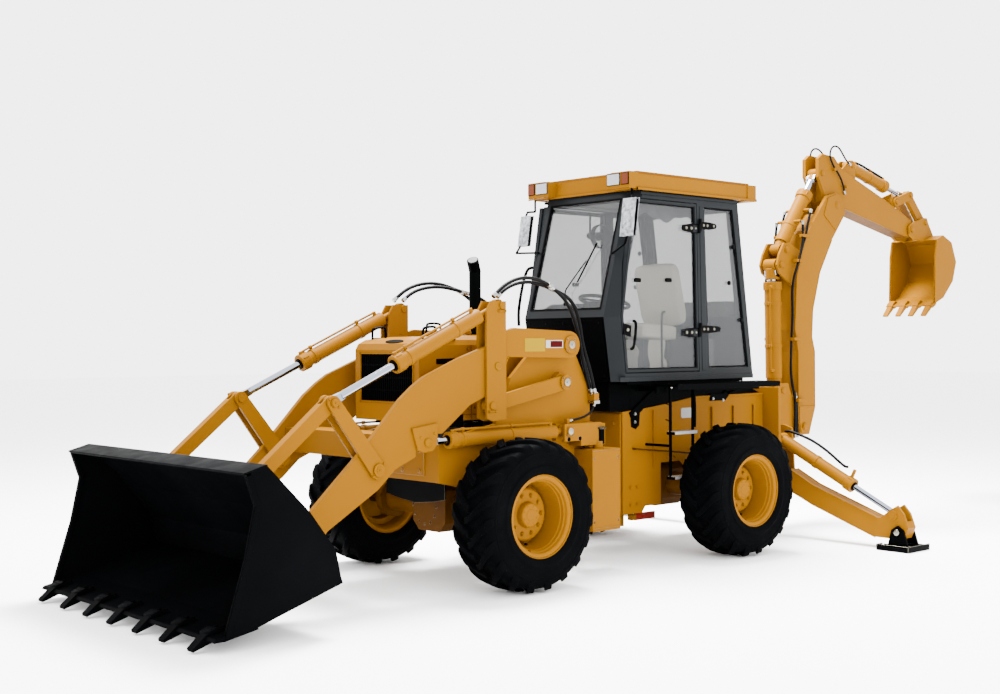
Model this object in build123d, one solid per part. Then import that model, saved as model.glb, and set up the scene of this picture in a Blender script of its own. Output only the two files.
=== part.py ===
from build123d import *
import math
import os

# Articulated backhoe loader. Millimetres. X forward, Y to the machine's left, Z up.
# Longitudinal places are given from the rear axle; SHIFT_X moves all of it so that
# the origin is at the middle of the machine's length, on the ground.

SHIFT_X = -279.0

# ---- wheels and axles ----
WHEELBASE = 2365.0
TYRE_R = 537.5
TYRE_W = 410.0
TYRE_Y = 876.0            # centre of each tyre
RIM_R = 285.0             # bead seat
FLANGE_R = 312.0
HUB_BORE = 56.0
STUB_R = 55.5
AXLE_Z = 537.5

# ---- articulation ----
PIVOT_X = 1130.0
PIVOT_R = 42.0

# ---- loader linkage pins (x, z) ----
P0 = (1630.0, 1720.0)     # arm on front frame
P1 = (2380.0, 1570.0)     # lever on arm
P2 = (2340.0, 2005.0)     # tilt cylinder on lever
P4 = (1680.0, 1440.0)     # levelling link on front frame
P3 = (P4[0] + P1[0] - P0[0], P4[1] + P1[1] - P0[1])   # levelling link on lever
P6 = (3440.0, 900.0)      # bellcrank on arm
P5 = (3790.0, 1355.0)     # bellcrank top
P8 = (4030.0, 420.0)      # bucket hinge
P7 = (P8[0] + P5[0] - P6[0], P8[1] + P5[1] - P6[1])   # bucket link on bucket
P9 = (1680.0, 1075.0)     # lift cylinder on front frame
P10 = (3020.0, 1060.0)    # lift cylinder rod on arm
PIN_R = 28.0
PIN_GAP = 0.4

# lateral stack of the loader linkage, per side
ARM_Y = (560.0, 600.0)
OUTER_Y = (606.0, 626.0)  # outer plate of lever and bellcrank
INNER_Y = (514.0, 534.0)  # inner plate
CYL_Y = 570.0             # cylinder centre planes

# ---- loader bucket ----
BUCKET_HW = 1161.0
BUCKET_WALL = 14.0

# ---- hood and engine ----
HOOD_X = (1400.0, 2900.0)
HOOD_HW = 380.0
HOOD_Z = (1180.0, 1790.0)

# ---- cab: plan sections (z, rear x, front x) ----
CAB_SECTIONS = [(1425.0, -648.0, 1040.0), (1936.0, -578.0, 1117.0), (2945.0, -440.0, 837.0)]
CAB_HW = 540.0
CAB_CORNER_HW = 452.0
CAB_CORNER_DX = 88.0
CAB_T = 42.0

# ---- backhoe pins (x, z) on the centre plane ----
SWING_X = -1420.0
FOOT = (-1950.0, 930.0)   # boom foot
B0 = (-1665.0, 1275.0)    # boom cylinder on swing frame
B1 = (-1645.0, 2455.0)    # boom cylinder rod on boom
D0 = (-1730.0, 2600.0)    # dipper cylinder on boom
ELBOW = (-2510.0, 3070.0) # boom to dipper
D1 = (-2325.0, 3370.0)    # dipper cylinder rod on dipper
G0 = (-3600.0, 3170.0)    # guide link on dipper
BP = (-3870.0, 2900.0)    # backhoe bucket on dipper
E0 = (-4135.0, 2985.0)    # tipping link on bucket
T0 = (G0[0] + E0[0] - BP[0], G0[1] + E0[1] - BP[1])   # guide link to tipping link
C0 = (-2880.0, 3495.0)    # bucket cylinder on dipper
HOE_BUCKET_HW = 273.0

# ---- stabilisers: (y, z) in the plane x = STAB_X ----
STAB_X = -1200.0
S0 = (430.0, 520.0)       # leg pivot
S1 = (430.0, 865.0)       # cylinder base
S2 = (1600.0, 285.0)      # cylinder rod on leg
S3 = (1655.0, 150.0)      # pad pivot


# ------------------------------------------------------------------ helpers
def box(x0, x1, y0, y1, z0, z1):
    return Solid.make_box(x1 - x0, y1 - y0, z1 - z0, Plane(origin=(x0, y0, z0)))


def plate(pts, y0, y1):
    """Side profile (x, z) extruded from y0 to y1."""
    w = Wire.make_polygon([Vector(x, y0, z) for x, z in pts], close=True)
    return Solid.extrude(Face(w), Vector(0, y1 - y0, 0))


def cross(pts, x0, x1):
    """Front profile (y, z) extruded from x0 to x1."""
    w = Wire.make_polygon([Vector(x0, y, z) for y, z in pts], close=True)
    return Solid.extrude(Face(w), Vector(x1 - x0, 0, 0))


def plan(pts, z0, z1):
    """Plan profile (x, y) extruded from z0 to z1."""
    w = Wire.make_polygon([Vector(x, y, z0) for x, y in pts], close=True)
    return Solid.extrude(Face(w), Vector(0, 0, z1 - z0))


def drum(p, y0, y1, r):
    """Cylinder along Y at (x, z)."""
    return Solid.make_cylinder(r, y1 - y0, Plane(origin=(p[0], y0, p[1]), z_dir=(0, 1, 0)))


def rod(a, b, r):
    """Cylinder between two 3-D points."""
    a, b = Vector(*a), Vector(*b)
    d = b - a
    return Solid.make_cylinder(r, d.length, Plane(origin=a, z_dir=d.normalized()))


def strip(p, q, half, y0, y1, half2=None):
    """Straight bar of width 2*half (tapering to 2*half2) from p to q with round ends."""
    h2 = half if half2 is None else half2
    dx, dz = q[0] - p[0], q[1] - p[1]
    n = math.hypot(dx, dz)
    ux, uz = dx / n, dz / n
    body = plate([(p[0] - uz * half, p[1] + ux * half), (q[0] - uz * h2, q[1] + ux * h2),
                  (q[0] + uz * h2, q[1] - ux * h2), (p[0] + uz * half, p[1] - ux * half)], y0, y1)
    return join(body, drum(p, y0, y1, half), drum(q, y0, y1, h2))


def join(*s):
    flat = [k for k in s]
    return Part() + flat if len(flat) > 1 else flat[0]


def both(*s):
    """The solids and their mirror images about the centre plane."""
    out = list(s)
    for k in s:
        out.append(mirror(k, about=Plane.XZ))
    return out


def along(p, q, d):
    """Point at distance d from p towards q (2-D)."""
    n = math.hypot(q[0] - p[0], q[1] - p[1])
    return (p[0] + (q[0] - p[0]) * d / n, p[1] + (q[1] - p[1]) * d / n)


os.makedirs("parts", exist_ok=True)
NODES = []


def node(name, *s):
    shape = join(*s)
    shape = shape.moved(Location((SHIFT_X, 0, 0)))
    shape.label = name
    export_step(shape, "parts/%s.step" % name)
    NODES.append(name)


def cylinder(p, q, y, r, rr, length, start, eye_w, ear_r, eye_r, pin_r=PIN_R, clear=70.0, back=0.0):
    """Barrel and rod between pins p and q in the plane of constant y. The tube runs from
    start to length, the rod stops clear of q and meets its eye by a flat neck. The piston
    has room to travel back by the length given as back."""
    def at(d, rev=False):
        k = along(q, p, d) if rev else along(p, q, d)
        return (k[0], y, k[1])
    tube = rod(at(start), at(length), r)
    head = rod(at(length - 70), at(length), r + 8)
    neck = rod(at(0), at(start + 5), min(eye_w / 2, r))
    bore = rod(at(start + 25), at(length + 5), r * 0.62)
    bar = join(tube, head, neck, drum(p, y - eye_w / 2, y + eye_w / 2, ear_r)) - bore
    bar = bar - drum(p, y - eye_w, y + eye_w, pin_r + PIN_GAP)
    shaft = rod(at(start + 38 + back), at(clear, True), rr)
    piston = rod(at(start + 38 + back), at(start + 74 + back), r * 0.62 - 1.5)
    h = eye_w / 2 - 4
    flat = strip(q, along(q, p, clear + 10), eye_r * 0.72, y - h, y + h, min(eye_r * 0.72, rr * 0.9))
    return bar, join(shaft, piston, flat, drum(q, y - h, y + h, eye_r))


# ------------------------------------------------------------------ wheels
def wheel(name, cx, side):
    cy = side * TYRE_Y
    # tyre section (y offset, radius), outer then inner
    sec = [(-190, RIM_R + 2), (-205, 360), (-190, 470), (-165, 512), (-120, TYRE_R), (120, TYRE_R), (165, 512), (190, 470), (205, 360), (190, RIM_R + 2)]
    w = Wire.make_polygon([Vector(cx, cy + o, AXLE_Z + r) for o, r in sec], close=True)
    tyre = Solid.revolve(Face(w), 360, Axis((cx, 0, AXLE_Z), (0, 1, 0)))
    node(name + "_tyre", tyre)
    s = side
    # rim section (y from tyre centre towards the outside, radius)
    rim = [(-186, RIM_R), (-186, 250), (-150, 236), (-60, 228), (-40, 210), (-40, 100), (-58, 100), (-58, HUB_BORE), (60, HUB_BORE), (60, 92),
           (-20, 112), (-20, 205), (20, 226), (150, 240), (176, 252), (178, FLANGE_R), (192, FLANGE_R), (192, 262), (186, RIM_R)]
    w = Wire.make_polygon([Vector(cx, cy + s * o, AXLE_Z + r) for o, r in rim], close=True)
    ring = Solid.revolve(Face(w), 360, Axis((cx, 0, AXLE_Z), (0, 1, 0)))
    cap = drum((cx, AXLE_Z), min(cy + s * 50, cy + s * 95), max(cy + s * 50, cy + s * 95), 78)
    node(name + "_rim", join(ring, cap))


for nm, cx, sd in (("front_left", WHEELBASE, 1), ("front_right", WHEELBASE, -1), ("rear_left", 0.0, 1), ("rear_right", 0.0, -1)):
    wheel(nm, cx, sd)


def axle(cx):
    sec = [(-150, -110), (-60, -170), (60, -170), (150, -110), (150, 110), (60, 170), (-60, 170), (-150, 110)]
    bowl = cross([(z, AXLE_Z + y) for y, z in ((-190, -120), (-120, -190), (120, -190), (190, -120), (190, 120), (120, 190), (-120, 190), (-190, 120))], cx - 150, cx + 150)
    arms = both(drum((cx, AXLE_Z), 150, 620, 98))
    flange = both(drum((cx, AXLE_Z), 600, 660, 150))
    stub = both(drum((cx, AXLE_Z), 640, TYRE_Y + 40, STUB_R))
    return join(bowl, *arms, *flange, *stub)


node("rear_axle", axle(0.0))
node("front_axle", axle(WHEELBASE))

# ------------------------------------------------------------------ rear frame
RF_Y = (318.0, 343.0)     # side plate
rf_side = plate([(790, 1175), (790, 345), (560, 345), (520, 395), (330, 395), (330, 740), (-330, 740), (-330, 600), (-1040, 480),
                 (-1040, 1275), (-140, 1275), (305, 1218), (560, 1190)], *RF_Y)
rf_parts = both(rf_side)
rf_parts += [
    box(765, 790, -343, 343, 345, 1175),                     # bulkhead behind the pivot
    box(-1040, 560, -320, 320, 1150, 1175),                  # deck
    box(-1065, -1035, -520, 520, 430, 1330),                 # rear plate carrying the backhoe
    box(-330, 330, -320, 320, 745, 800),                     # axle saddle
]
for z in (430.0, 1010.0):                                    # pivot lugs
    rf_parts.append(plan([(780, -110), (780, 110), (PIVOT_X, 75), (PIVOT_X + 60, 40), (PIVOT_X + 60, -40), (PIVOT_X, -75)], z, z + 45))
rear_frame = join(*rf_parts) - Solid.make_cylinder(PIVOT_R + PIN_GAP, 900, Plane(origin=(PIVOT_X, 0, 300)))
# stabiliser boxes and swing bearings at the back
stab_plates = []
for x in (STAB_X + 78, STAB_X - 98):
    stab_plates += both(cross([(240, 440), (500, 440), (505, 600), (480, 960), (400, 985), (240, 985)], x, x + 20))
rear_frame = join(rear_frame, *stab_plates,
                  box(STAB_X - 98, -1040, -240, 240, 440, 470), box(STAB_X - 98, -1040, -240, 240, 1250, 1290),
                  box(STAB_X - 98, STAB_X - 60, -240, 240, 440, 1290),
                  *both(box(STAB_X - 98, -1040, 220, 240, 440, 1290)))
for z in (640.0, 1180.0):
    rear_frame = join(rear_frame, plan([(STAB_X - 70, -150), (STAB_X - 70, 150), (SWING_X, 85), (SWING_X - 80, 40), (SWING_X - 80, -40), (SWING_X, -85)], z, z + 60))
rear_frame = rear_frame - Solid.make_cylinder(45 + PIN_GAP, 900, Plane(origin=(SWING_X, 0, 500)))
pins = []
for px, pz in (S0, S1):
    pins += both(Solid.make_cylinder(PIN_R, 226, Plane(origin=(STAB_X - 118, px, pz), z_dir=(1, 0, 0))))
rear_frame = join(rear_frame, *pins)
node("rear_frame", rear_frame)

# platform, ladders
plat = both(box(-680, 640, 560, 800, 1380, 1400), box(-680, 640, 560, 580, 1330, 1380),
            box(560, 600, 343, 570, 1340, 1380), box(-420, -380, 343, 570, 1340, 1380))
LADDER = both(box(500, 520, 600, 616, 630, 1385), box(225, 245, 600, 616, 630, 1385),
              box(225, 520, 575, 655, 990, 1012), box(225, 520, 575, 655, 630, 652),
              rod((510, 608, 900), (510, 343, 900), 11))
plat_parts = [*plat, *LADDER]

# ------------------------------------------------------------------ cab
def ring(z, rear, front, inset=0.0):
    hw, ch = CAB_HW - inset, CAB_CORNER_HW - inset * 0.6
    pts = [(rear + inset, -hw), (front - CAB_CORNER_DX - inset, -hw), (front - inset, -ch), (front - inset, ch), (front - CAB_CORNER_DX - inset, hw), (rear + inset, hw)]
    return Wire.make_polygon([Vector(x, y, z) for x, y in pts], close=True)


def at_z(z):
    for (z0, r0, f0), (z1, r1, f1) in zip(CAB_SECTIONS, CAB_SECTIONS[1:]):
        if z <= z1:
            t = (z - z0) / (z1 - z0)
            return r0 + (r1 - r0) * t, f0 + (f1 - f0) * t
    return CAB_SECTIONS[-1][1:]


cab = Solid.make_loft([ring(z, r, f) for z, r, f in CAB_SECTIONS], ruled=True)
inner_z = (1470.0, 1936.0, 2950.0)
hollow = Solid.make_loft([ring(z, *at_z(min(z, 2945.0)), inset=CAB_T) for z in inner_z], ruled=True)
cab = cab - hollow
DOOR = [(868, 2885), (1018, 1945), (960, 1490), (62, 1490), (92, 2885)]      # door opening (x, z)
REAR_SIDE = [(0, 2860), (-375, 2860), (-585, 1520), (-60, 1520)]             # rear quarter window
cuts = [plate(DOOR, -600, 600), plate(REAR_SIDE, -600, 600),
        box(700, 1300, -405, 405, 2000, 2885), box(-900, -350, -440, 440, 1960, 2860)]
jamb = plate([(850, 2885), (1010, 1960), (930, 1960), (770, 2885)], 440, 497)
cab = join(cab, *[k - hollow for k in both(jamb)])
for c in cuts[:2]:
    cab = cab - (c - box(-900, 1300, -(CAB_HW - CAB_T - 1), CAB_HW - CAB_T - 1, 1300, 3000))
for c in cuts[2:]:
    cab = cab - c
cab = join(cab, box(-560, 900, -500, 500, 1400, 1430), *both(box(560, 700, 343 - 60, 343, 1192, 1402), box(-400, -260, 343 - 60, 343, 1276, 1402)), box(20, 360, -180, 180, 1460, 1758))
node("cab_frame", cab)

# doors: frame with a pane, hung on the rear edge
def shrink(pts, d):
    cx = sum(p[0] for p in pts) / len(pts)
    cz = sum(p[1] for p in pts) / len(pts)
    w = Wire.make_polygon([Vector(x, z, 0) for x, z in pts], close=True).offset_2d(-d, kind=Kind.INTERSECTION)
    vs = [v.to_tuple() if hasattr(v, "to_tuple") else tuple(v) for v in w.vertices()]
    vs = sorted(vs, key=lambda v: math.atan2(v[1] - cz, v[0] - cx))
    return [(v[0], v[1]) for v in vs]


DOOR_Y = (503.0, 538.0)
outer = shrink(DOOR, 6.0)
inner = shrink(DOOR, 33.0)
for side, nm in ((1, "left"), (-1, "right")):
    y0, y1 = sorted((side * DOOR_Y[0], side * DOOR_Y[1]))
    frame = plate(outer, y0, y1) - plate(inner, y0 - 5, y1 + 5)
    g0, g1 = sorted((side * 517.0, side * 523.0))
    hinge = [rod((80, side * 556, z), (80, side * 556, z + 70), 13) for z in (1780, 2640)]
    strap = [box(84, 150, min(side * 541, side * 551), max(side * 541, side * 551), z + 5, z + 60) for z in (1780, 2640)]
    strap += [box(112, 150, min(side * 530, side * 545), max(side * 530, side * 545), z + 5, z + 60) for z in (1780, 2640)]
    node("door_" + nm, frame, *hinge, *strap)
    node("door_glass_" + nm, plate(inner, g0, g1))

# glass fixed in the cab
def slab(z0, z1, y0, y1, which, off0, off1):
    """Pane that follows the inclined front (which=1) or rear (which=0) face."""
    pts = []
    for z in (z0, z1):
        pts.append((at_z(z)[which] + off0, z))
    for z in (z1, z0):
        pts.append((at_z(z)[which] + off1, z))
    return plate(pts, y0, y1)


glass = [slab(2000, 2885, -405, 405, 1, -26, -20), slab(1960, 2860, -440, 440, 0, 20, 26)]
glass += both(plate(REAR_SIDE, 517, 523))
node("cab_glass", *glass)

roof = join(Solid.make_loft([Wire.make_polygon([Vector(x, y, z) for x, y in ((-640, -580), (860, -580), (860, 580), (-640, 580))], close=True) for z in (2950, 3070)], ruled=True),
            box(-600, 820, -540, 540, 3070, 3098), *both(box(850, 954, 380, 580, 2951, 3083)))
node("cab_roof", roof)
seat = join(box(-60, 420, -240, 240, 1760, 1880), plate([(-60, 1880), (60, 1880), (-80, 2420), (-180, 2400)], -230, 230))
node("seat", seat)
column = join(rod((785, 0, 1500), (640, 0, 2050), 45), box(740, 850, -90, 90, 1471, 1530))
wdir = Vector(-160, 0, 620).normalized()
wc = Vector(640, 0, 2050) + wdir * 22
sw = Solid.make_torus(205, 14, Plane(origin=wc, z_dir=wdir))
sp = join(sw, rod(tuple(wc - wdir * 20), tuple(wc + wdir * 14), 40), rod(tuple(wc + Vector(0, -195, 0)), tuple(wc + Vector(0, 195, 0)), 11))
lm = plate([(1049, 2842), (1081, 2842), (1124, 2562), (1092, 2562)], 645, 770)
rm = plate([(868, 2812), (896, 2812), (940, 2566), (912, 2566)], -725, -612)
lm = join(lm, rod((900, 560, 2949), (900, 560, 2870), 9), rod((900, 560, 2870), (1040, 690, 2872), 9), rod((1040, 690, 2872), (1068, 705, 2835), 9), rod((990, 430, 2440), (1120, 690, 2500), 9), rod((1120, 690, 2500), (1108, 705, 2572), 9))
rm = join(rm, rod((884, -570, 2949), (884, -570, 2850), 9), rod((884, -570, 2850), (890, -660, 2852), 9), rod((890, -660, 2852), (888, -690, 2805), 9), rod((975, -430, 2490), (985, -700, 2500), 9), rod((985, -700, 2500), (928, -700, 2575), 9))
node("platforms_and_fittings", *plat_parts, column, sp, lm, rm)

# ------------------------------------------------------------------ front frame
FF_Y = (470.0, 505.0)
ff_side = plate([(1330, 640), (1330, 1332), (1394, 1487), (1469, 1626), (1545, 1790), (1640, 1812), (1800, 1800), (2150, 1480), (2300, 1150),
                 (2830, 1060), (2830, 760), (2560, 700), (2560, 735), (2170, 735), (2170, 640)], *FF_Y)
ff = both(ff_side)
ff += [box(1330, 1370, -470, 470, 640, 1120), box(2790, 2830, -470, 470, 760, 1060),
       box(2170, 2560, -470, 470, 735, 790), box(1500, 1540, -470, 470, 1120, 1175),
       *both(box(1200, 1500, 480, 700, 310, 930))]
for z in (478.0, 1058.0):
    ff.append(plan([(1340, -120), (1340, 120), (PIVOT_X, 80), (PIVOT_X - 60, 45), (PIVOT_X - 60, -45), (PIVOT_X, -80)], z - 3 + 3.0, z + 45))
ff.append(box(1300, 1345, -130, 130, 420, 1110))
ff.append(Solid.make_cylinder(PIVOT_R, 720, Plane(origin=(PIVOT_X, 0, 400))))
ff += both(drum(P9, 540, 652, 32.0))
for p, r in ((P0, 40.0), (P4, 32.0)):
    ff += both(drum(p, 500, ARM_Y[1] + 4, r), drum(p, ARM_Y[1] + 4, ARM_Y[1] + 16, r + 26), drum(p, 500, ARM_Y[0] - 4, r + 40))
ff += both(box(1340, 1732, 505, 546, 1000, 1130), box(1340, 1732, 614, 640, 1000, 1130), box(1300, 1560, 505, 640, 960, 1120))
ff += both(box(1300, 1352, 500, 576, 1284, 1345), box(1642, 1672, 574, 606, 1128, 1164))
front = join(*ff)
# bolt holes for a front counterweight
for y in (-100, 100):
    for z in (850, 970):
        front = front - Solid.make_cylinder(11, 80, Plane(origin=(2770, y, z), z_dir=(1, 0, 0)))
node("front_frame", front)
node("engine", box(1620, 2680, -270, 270, 1000, 1640))
HOOD_SEC = [(-HOOD_HW, HOOD_Z[0] - 20), (-HOOD_HW, 1722), (-365, 1760), (-330, 1790), (-290, 1803), (290, 1803), (330, 1790), (365, 1760), (HOOD_HW, 1722), (HOOD_HW, HOOD_Z[0] - 20)]
HOOD_SEC_IN = [(y * (HOOD_HW - 20) / HOOD_HW, z - 26 if z > 1200 else z - 30) for y, z in HOOD_SEC]
hood = (cross(HOOD_SEC, 1300, 3000) & plate([(HOOD_X[0], HOOD_Z[0]), (HOOD_X[0], 1803), (2600, 1785), (2820, 1764), (2875, 1735), (HOOD_X[1], 1690), (HOOD_X[1], HOOD_Z[0])], -HOOD_HW, HOOD_HW))
hood = hood - (cross(HOOD_SEC_IN, 1200, 2876) & plate([(1300, 1100), (1300, 1777), (2600, 1759), (2810, 1739), (2860, 1712), (2876, 1690), (2876, 1100)], -HOOD_HW + 20, HOOD_HW - 20))
hood = hood - box(2850, 2950, -310, 310, 1320, 1660)
stack = join(Solid.make_cylinder(62, 36, Plane(origin=(1925, -150, 1785))),
             Solid.make_cylinder(42, 520, Plane(origin=(1925, -150, 1790))), rod((1919, -154, 2290), (1975, -118, 2372), 41.5))
node("hood", hood, box(2868, 2886, -309, 309, 1321, 1659), stack)

# ------------------------------------------------------------------ loader
arm_pts = [(1620, 1822), (2200, 1845), (2330, 1807), (2431, 1722), (2710, 1633), (3020, 1510), (3118, 1449), (3231, 1361), (3464, 1120), (3585, 1002), (3961, 656),
           (4085, 470), (4030, 345), (3955, 370), (3832, 529), (3425, 766), (3282, 891), (3026, 1000), (2621, 1302), (2453, 1367), (2300, 1560), (2258, 1635), (1621, 1622)]
arm = join(plate(arm_pts, *ARM_Y), drum(P0, *ARM_Y, 100), drum(P8, *ARM_Y, 78))
# the lift cylinder's rod end sits in a notch of the arm between two ears
arm = arm - drum(P0, 500, 700, 40 + PIN_GAP) - plate([(2820, 900), (2870, 1114), (3095, 1114), (3115, 900)], 500, 700)
ear_pts = [(2925, 1190), (3150, 1160), (3105, 1015), (3050, 992), (2975, 1000), (2935, 1040)]
arm = join(arm, plate(ear_pts, 540, 560), plate(ear_pts, 600, 620), drum(P10, 534, 556, 30), drum(P10, 604, 630, 30))
for p in (P6, P8):
    arm = arm - drum(p, 500, 700, PIN_R + PIN_GAP)
arms = both(arm)
arms.append(box(3170, 3400, -560, 560, 960, 1130))
arms += both(box(3170, 3400, 540, 560, 960, 1130))
# pins carried by the arms
arms += both(drum(P1, 508, ARM_Y[0], PIN_R), drum(P1, ARM_Y[1], 632, PIN_R))
swing_room = both(box(3320, 3420, 505, 541, 940, 1140))
arms_whole = join(*arms)
for k in swing_room:
    arms_whole = arms_whole - k
node("loader_arms", arms_whole)

lever_pts = [(2300, 1190), (2300, 2035), (2440, 2035), (2485, 1960), (2485, 1200), (2430, 1180)]
lev = []
for y0, y1 in (INNER_Y, OUTER_Y):
    lev.append(plate(lever_pts, y0, y1) - drum(P1, y0 - 2, y1 + 2, PIN_R + PIN_GAP))
lev.append(plate([(2300, 1860), (2330, 1860), (2330, 1900), (2300, 1900)], INNER_Y[1], OUTER_Y[0]))
lev += [drum(P2, INNER_Y[0] - 8, OUTER_Y[1] + 8, PIN_R), drum(P3, INNER_Y[0] - 8, OUTER_Y[1] + 8, PIN_R)]
node("loader_levers", *both(*lev))

link = strip(P4, P3, 55, 562, 598, 50) - drum(P4, 540, 620, 32 + PIN_GAP) - drum(P3, 540, 620, PIN_R + PIN_GAP)
node("levelling_links", *both(link))

tb, tr = cylinder(P2, P5, CYL_Y, 55, 27, 1010, 194, 44, 46, 44, PIN_R, 95.0, 475.0)
node("tilt_barrels", *both(tb))
node("tilt_rods", *both(tr))
lb, lr = cylinder(P9, P10, 580.0, 50, 26, 1130, 105, 44, 46, 40, 32.0, 106.0, 10.0)
node("lift_barrels", *both(lb))
node("lift_rods", *both(lr))

# bellcranks, bucket links and their pins
bc = []
for y0, y1 in (INNER_Y, OUTER_Y):
    bc.append(strip(P6, P5, 62, y0, y1, 48) - drum(P6, y0 - 2, y1 + 2, PIN_R + PIN_GAP) - drum(P5, y0 - 2, y1 + 2, PIN_R + PIN_GAP))
mid = along(P6, P5, 425)
bc.append(rod((mid[0], INNER_Y[1], mid[1]), (mid[0], OUTER_Y[0], mid[1]), 24))
node("bellcranks", *both(join(*bc)))
node("bellcrank_pivot_pins", *both(join(drum(P6, 506, 634, PIN_R), drum(P6, 500, 510, 44), drum(P6, 630, 640, 44))))
node("bellcrank_top_pins", *both(drum(P5, 502, 549, PIN_R), drum(P5, 591, 640, PIN_R)))
node("bucket_hinge_pins", *both(join(drum(P8, 506, 634, PIN_R), drum(P8, 500, 510, 42), drum(P8, 630, 640, 42))))
bl = strip(P5, P7, 48, 538, 602, 44) - drum(P5, 551, 589, 80) - drum(P5, 530, 610, PIN_R + PIN_GAP) - drum(P7, 530, 610, PIN_R + PIN_GAP)
node("bucket_links", *both(bl))

# loader bucket
BK_OUT = [(4906, 85), (4730, 110), (4105, 305), (4120, 350), (4154, 508), (4337, 750), (4628, 1041), (4770, 1003), (4705, 813), (4770, 516)]
BK_IN = [(5200, 62), (4732, 126), (4126, 317), (4134, 348), (4168, 502), (4348, 741), (4633, 1025), (4790, 984), (5200, 900)]
shell = plate(BK_OUT, -BUCKET_HW, BUCKET_HW) - plate(BK_IN, -BUCKET_HW + 20, BUCKET_HW - 20)
lip = plate([(4690, 112), (4700, 140), (4960, 92), (4975, 72), (4910, 72)], -BUCKET_HW, BUCKET_HW)
bkt = [shell, lip]
for i in range(7):
    y = -1015 + i * 2030 / 6
    bkt.append(plate([(4870, 118), (4930, 128), (5048, 30), (5044, 14), (4900, 62), (4870, 70)], y - 34, y + 34))
for y0, y1 in (INNER_Y, OUTER_Y):
    ear8 = join(plate([(3990, 372), (4095, 318), (4160, 520), (4060, 486)], y0, y1), drum(P8, y0, y1, 60)) - drum(P8, y0 - 2, y1 + 2, PIN_R + PIN_GAP)
    ear7 = join(plate([(4330, 840), (4330, 750), (4500, 912), (4420, 940)], y0, y1), drum(P7, y0, y1, 52))
    bkt += both(ear8, ear7)
bkt += both(drum(P7, 506, 634, PIN_R))
node("loader_bucket", join(*bkt))

# ------------------------------------------------------------------ backhoe
WEB_Y = (84.0, 107.0)
web = plate([(-1445, 712), (-1445, 1168), (-1540, 1168), (-1580, 1345), (-1740, 1345), (-1790, 1230), (-2010, 1010), (-2025, 890), (-1950, 860), (-1560, 712)], *WEB_Y)
sf = both(web)
sf += [Solid.make_cylinder(80, 1168 - 712, Plane(origin=(SWING_X, 0, 712))), Solid.make_cylinder(45, 700, Plane(origin=(SWING_X, 0, 600))),
       box(-1540, -1470, -107, 107, 712, 1168), box(-1800, -1540, -84, 84, 740, 775)]
swing = join(*sf)
swing = join(swing, drum(FOOT, -150, 150, 34), drum(B0, -112, 112, 34))
node("swing_frame", swing)

BOOM_HW = 130.0
boom_pts = [(-1900, 850), (-1870, 1000), (-1870, 1640), (-1822, 1850), (-1855, 2365), (-2020, 2770), (-2350, 3150), (-2510, 3190), (-2620, 3130), (-2650, 2990),
            (-2425, 2723), (-2225, 2405), (-2108, 2040), (-2090, 1780), (-2135, 1640), (-2135, 1100), (-2040, 850)]
boom = plate(boom_pts, -BOOM_HW, BOOM_HW)
boom = boom - drum(ELBOW, -97, 97, 250) - drum(FOOT, -113, 113, 330)
# relief in the top for the dipper cylinder
boom = boom - plate([(-2030, 2758), (-2095, 2815), (-2420, 3098), (-2500, 3260), (-2200, 3200)], -84, 84)
boom = boom - drum(FOOT, -200, 200, 34 + PIN_GAP) - drum(ELBOW, -200, 200, 38 + PIN_GAP)
br = [plate([(-1835, 2250), (-1610, 2380), (-1580, 2455), (-1620, 2560), (-1690, 2665), (-1770, 2670), (-1940, 2600)], s * 84 if s > 0 else -106, 106 if s > 0 else -84) for s in (1, -1)]
boom = join(boom, *br, *[drum(B1, a, b, 32) for a, b in ((-118, -80), (80, 118))], drum(D0, -118, 118, 32))
node("boom", boom)

dip_pts = [(-2262, 3330), (-2262, 3510), (-2330, 3560), (-2520, 3545), (-2640, 3440), (-2900, 3350), (-3400, 3185), (-3700, 3075), (-3900, 3000), (-3955, 2900), (-3900, 2825), (-3780, 2830), (-2700, 3045), (-2590, 2985), (-2470, 2985), (-2420, 3070)]
dip = plate(dip_pts, -92, 92)
dip = dip - plate([(-2200, 3150), (-2200, 3620), (-2420, 3620), (-2440, 3340), (-2412, 3110)], -58, 58)
dip = join(dip, drum(ELBOW, -140, 140, 38), drum(BP, -135, 135, 32), *[drum(G0, a, b, 26) for a, b in ((-125, -48), (48, 125))],
           *[drum(D1, a, b, 28) for a, b in ((-98, -52), (52, 98))],
           *[plate([(-2930, 3335), (-2935, 3500), (-2890, 3545), (-2830, 3540), (-2700, 3440), (-2720, 3400)], a, b) for a, b in ((-62, -42), (42, 62))])
dip = join(dip, drum(C0, -70, 70, 24), *[drum(G0, a, b, 60) for a, b in ((-92, -48), (48, 92))])
node("dipper", dip)

HB_OUT = [(-4060, 2125), (-4230, 2190), (-4420, 2370), (-4491, 2576), (-4400, 2780), (-4230, 2850), (-4110, 2800), (-4075, 2620)]
HB_IN = [(-3900, 2050), (-4070, 2142), (-4222, 2205), (-4404, 2378), (-4473, 2574), (-4388, 2766), (-4225, 2832), (-4060, 2780), (-3900, 2740)]
hb = plate(HB_OUT, -HOE_BUCKET_HW, HOE_BUCKET_HW) - plate(HB_IN, -HOE_BUCKET_HW + 16, HOE_BUCKET_HW - 16)
hbs = [hb, plate([(-4090, 2120), (-4090, 2148), (-4000, 2110), (-4000, 2096)], -HOE_BUCKET_HW, HOE_BUCKET_HW)]
for i in range(4):
    y = -225 + i * 150
    hbs.append(plate([(-4060, 2150), (-4020, 2135), (-3902, 2005), (-3915, 1992), (-4050, 2095)], y - 28, y + 28))
ear_pts = [(-3915, 2800), (-3830, 2845), (-3815, 2915), (-3860, 2955), (-4090, 3035), (-4160, 3035), (-4190, 2980), (-4300, 2830), (-4110, 2790)]
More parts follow.
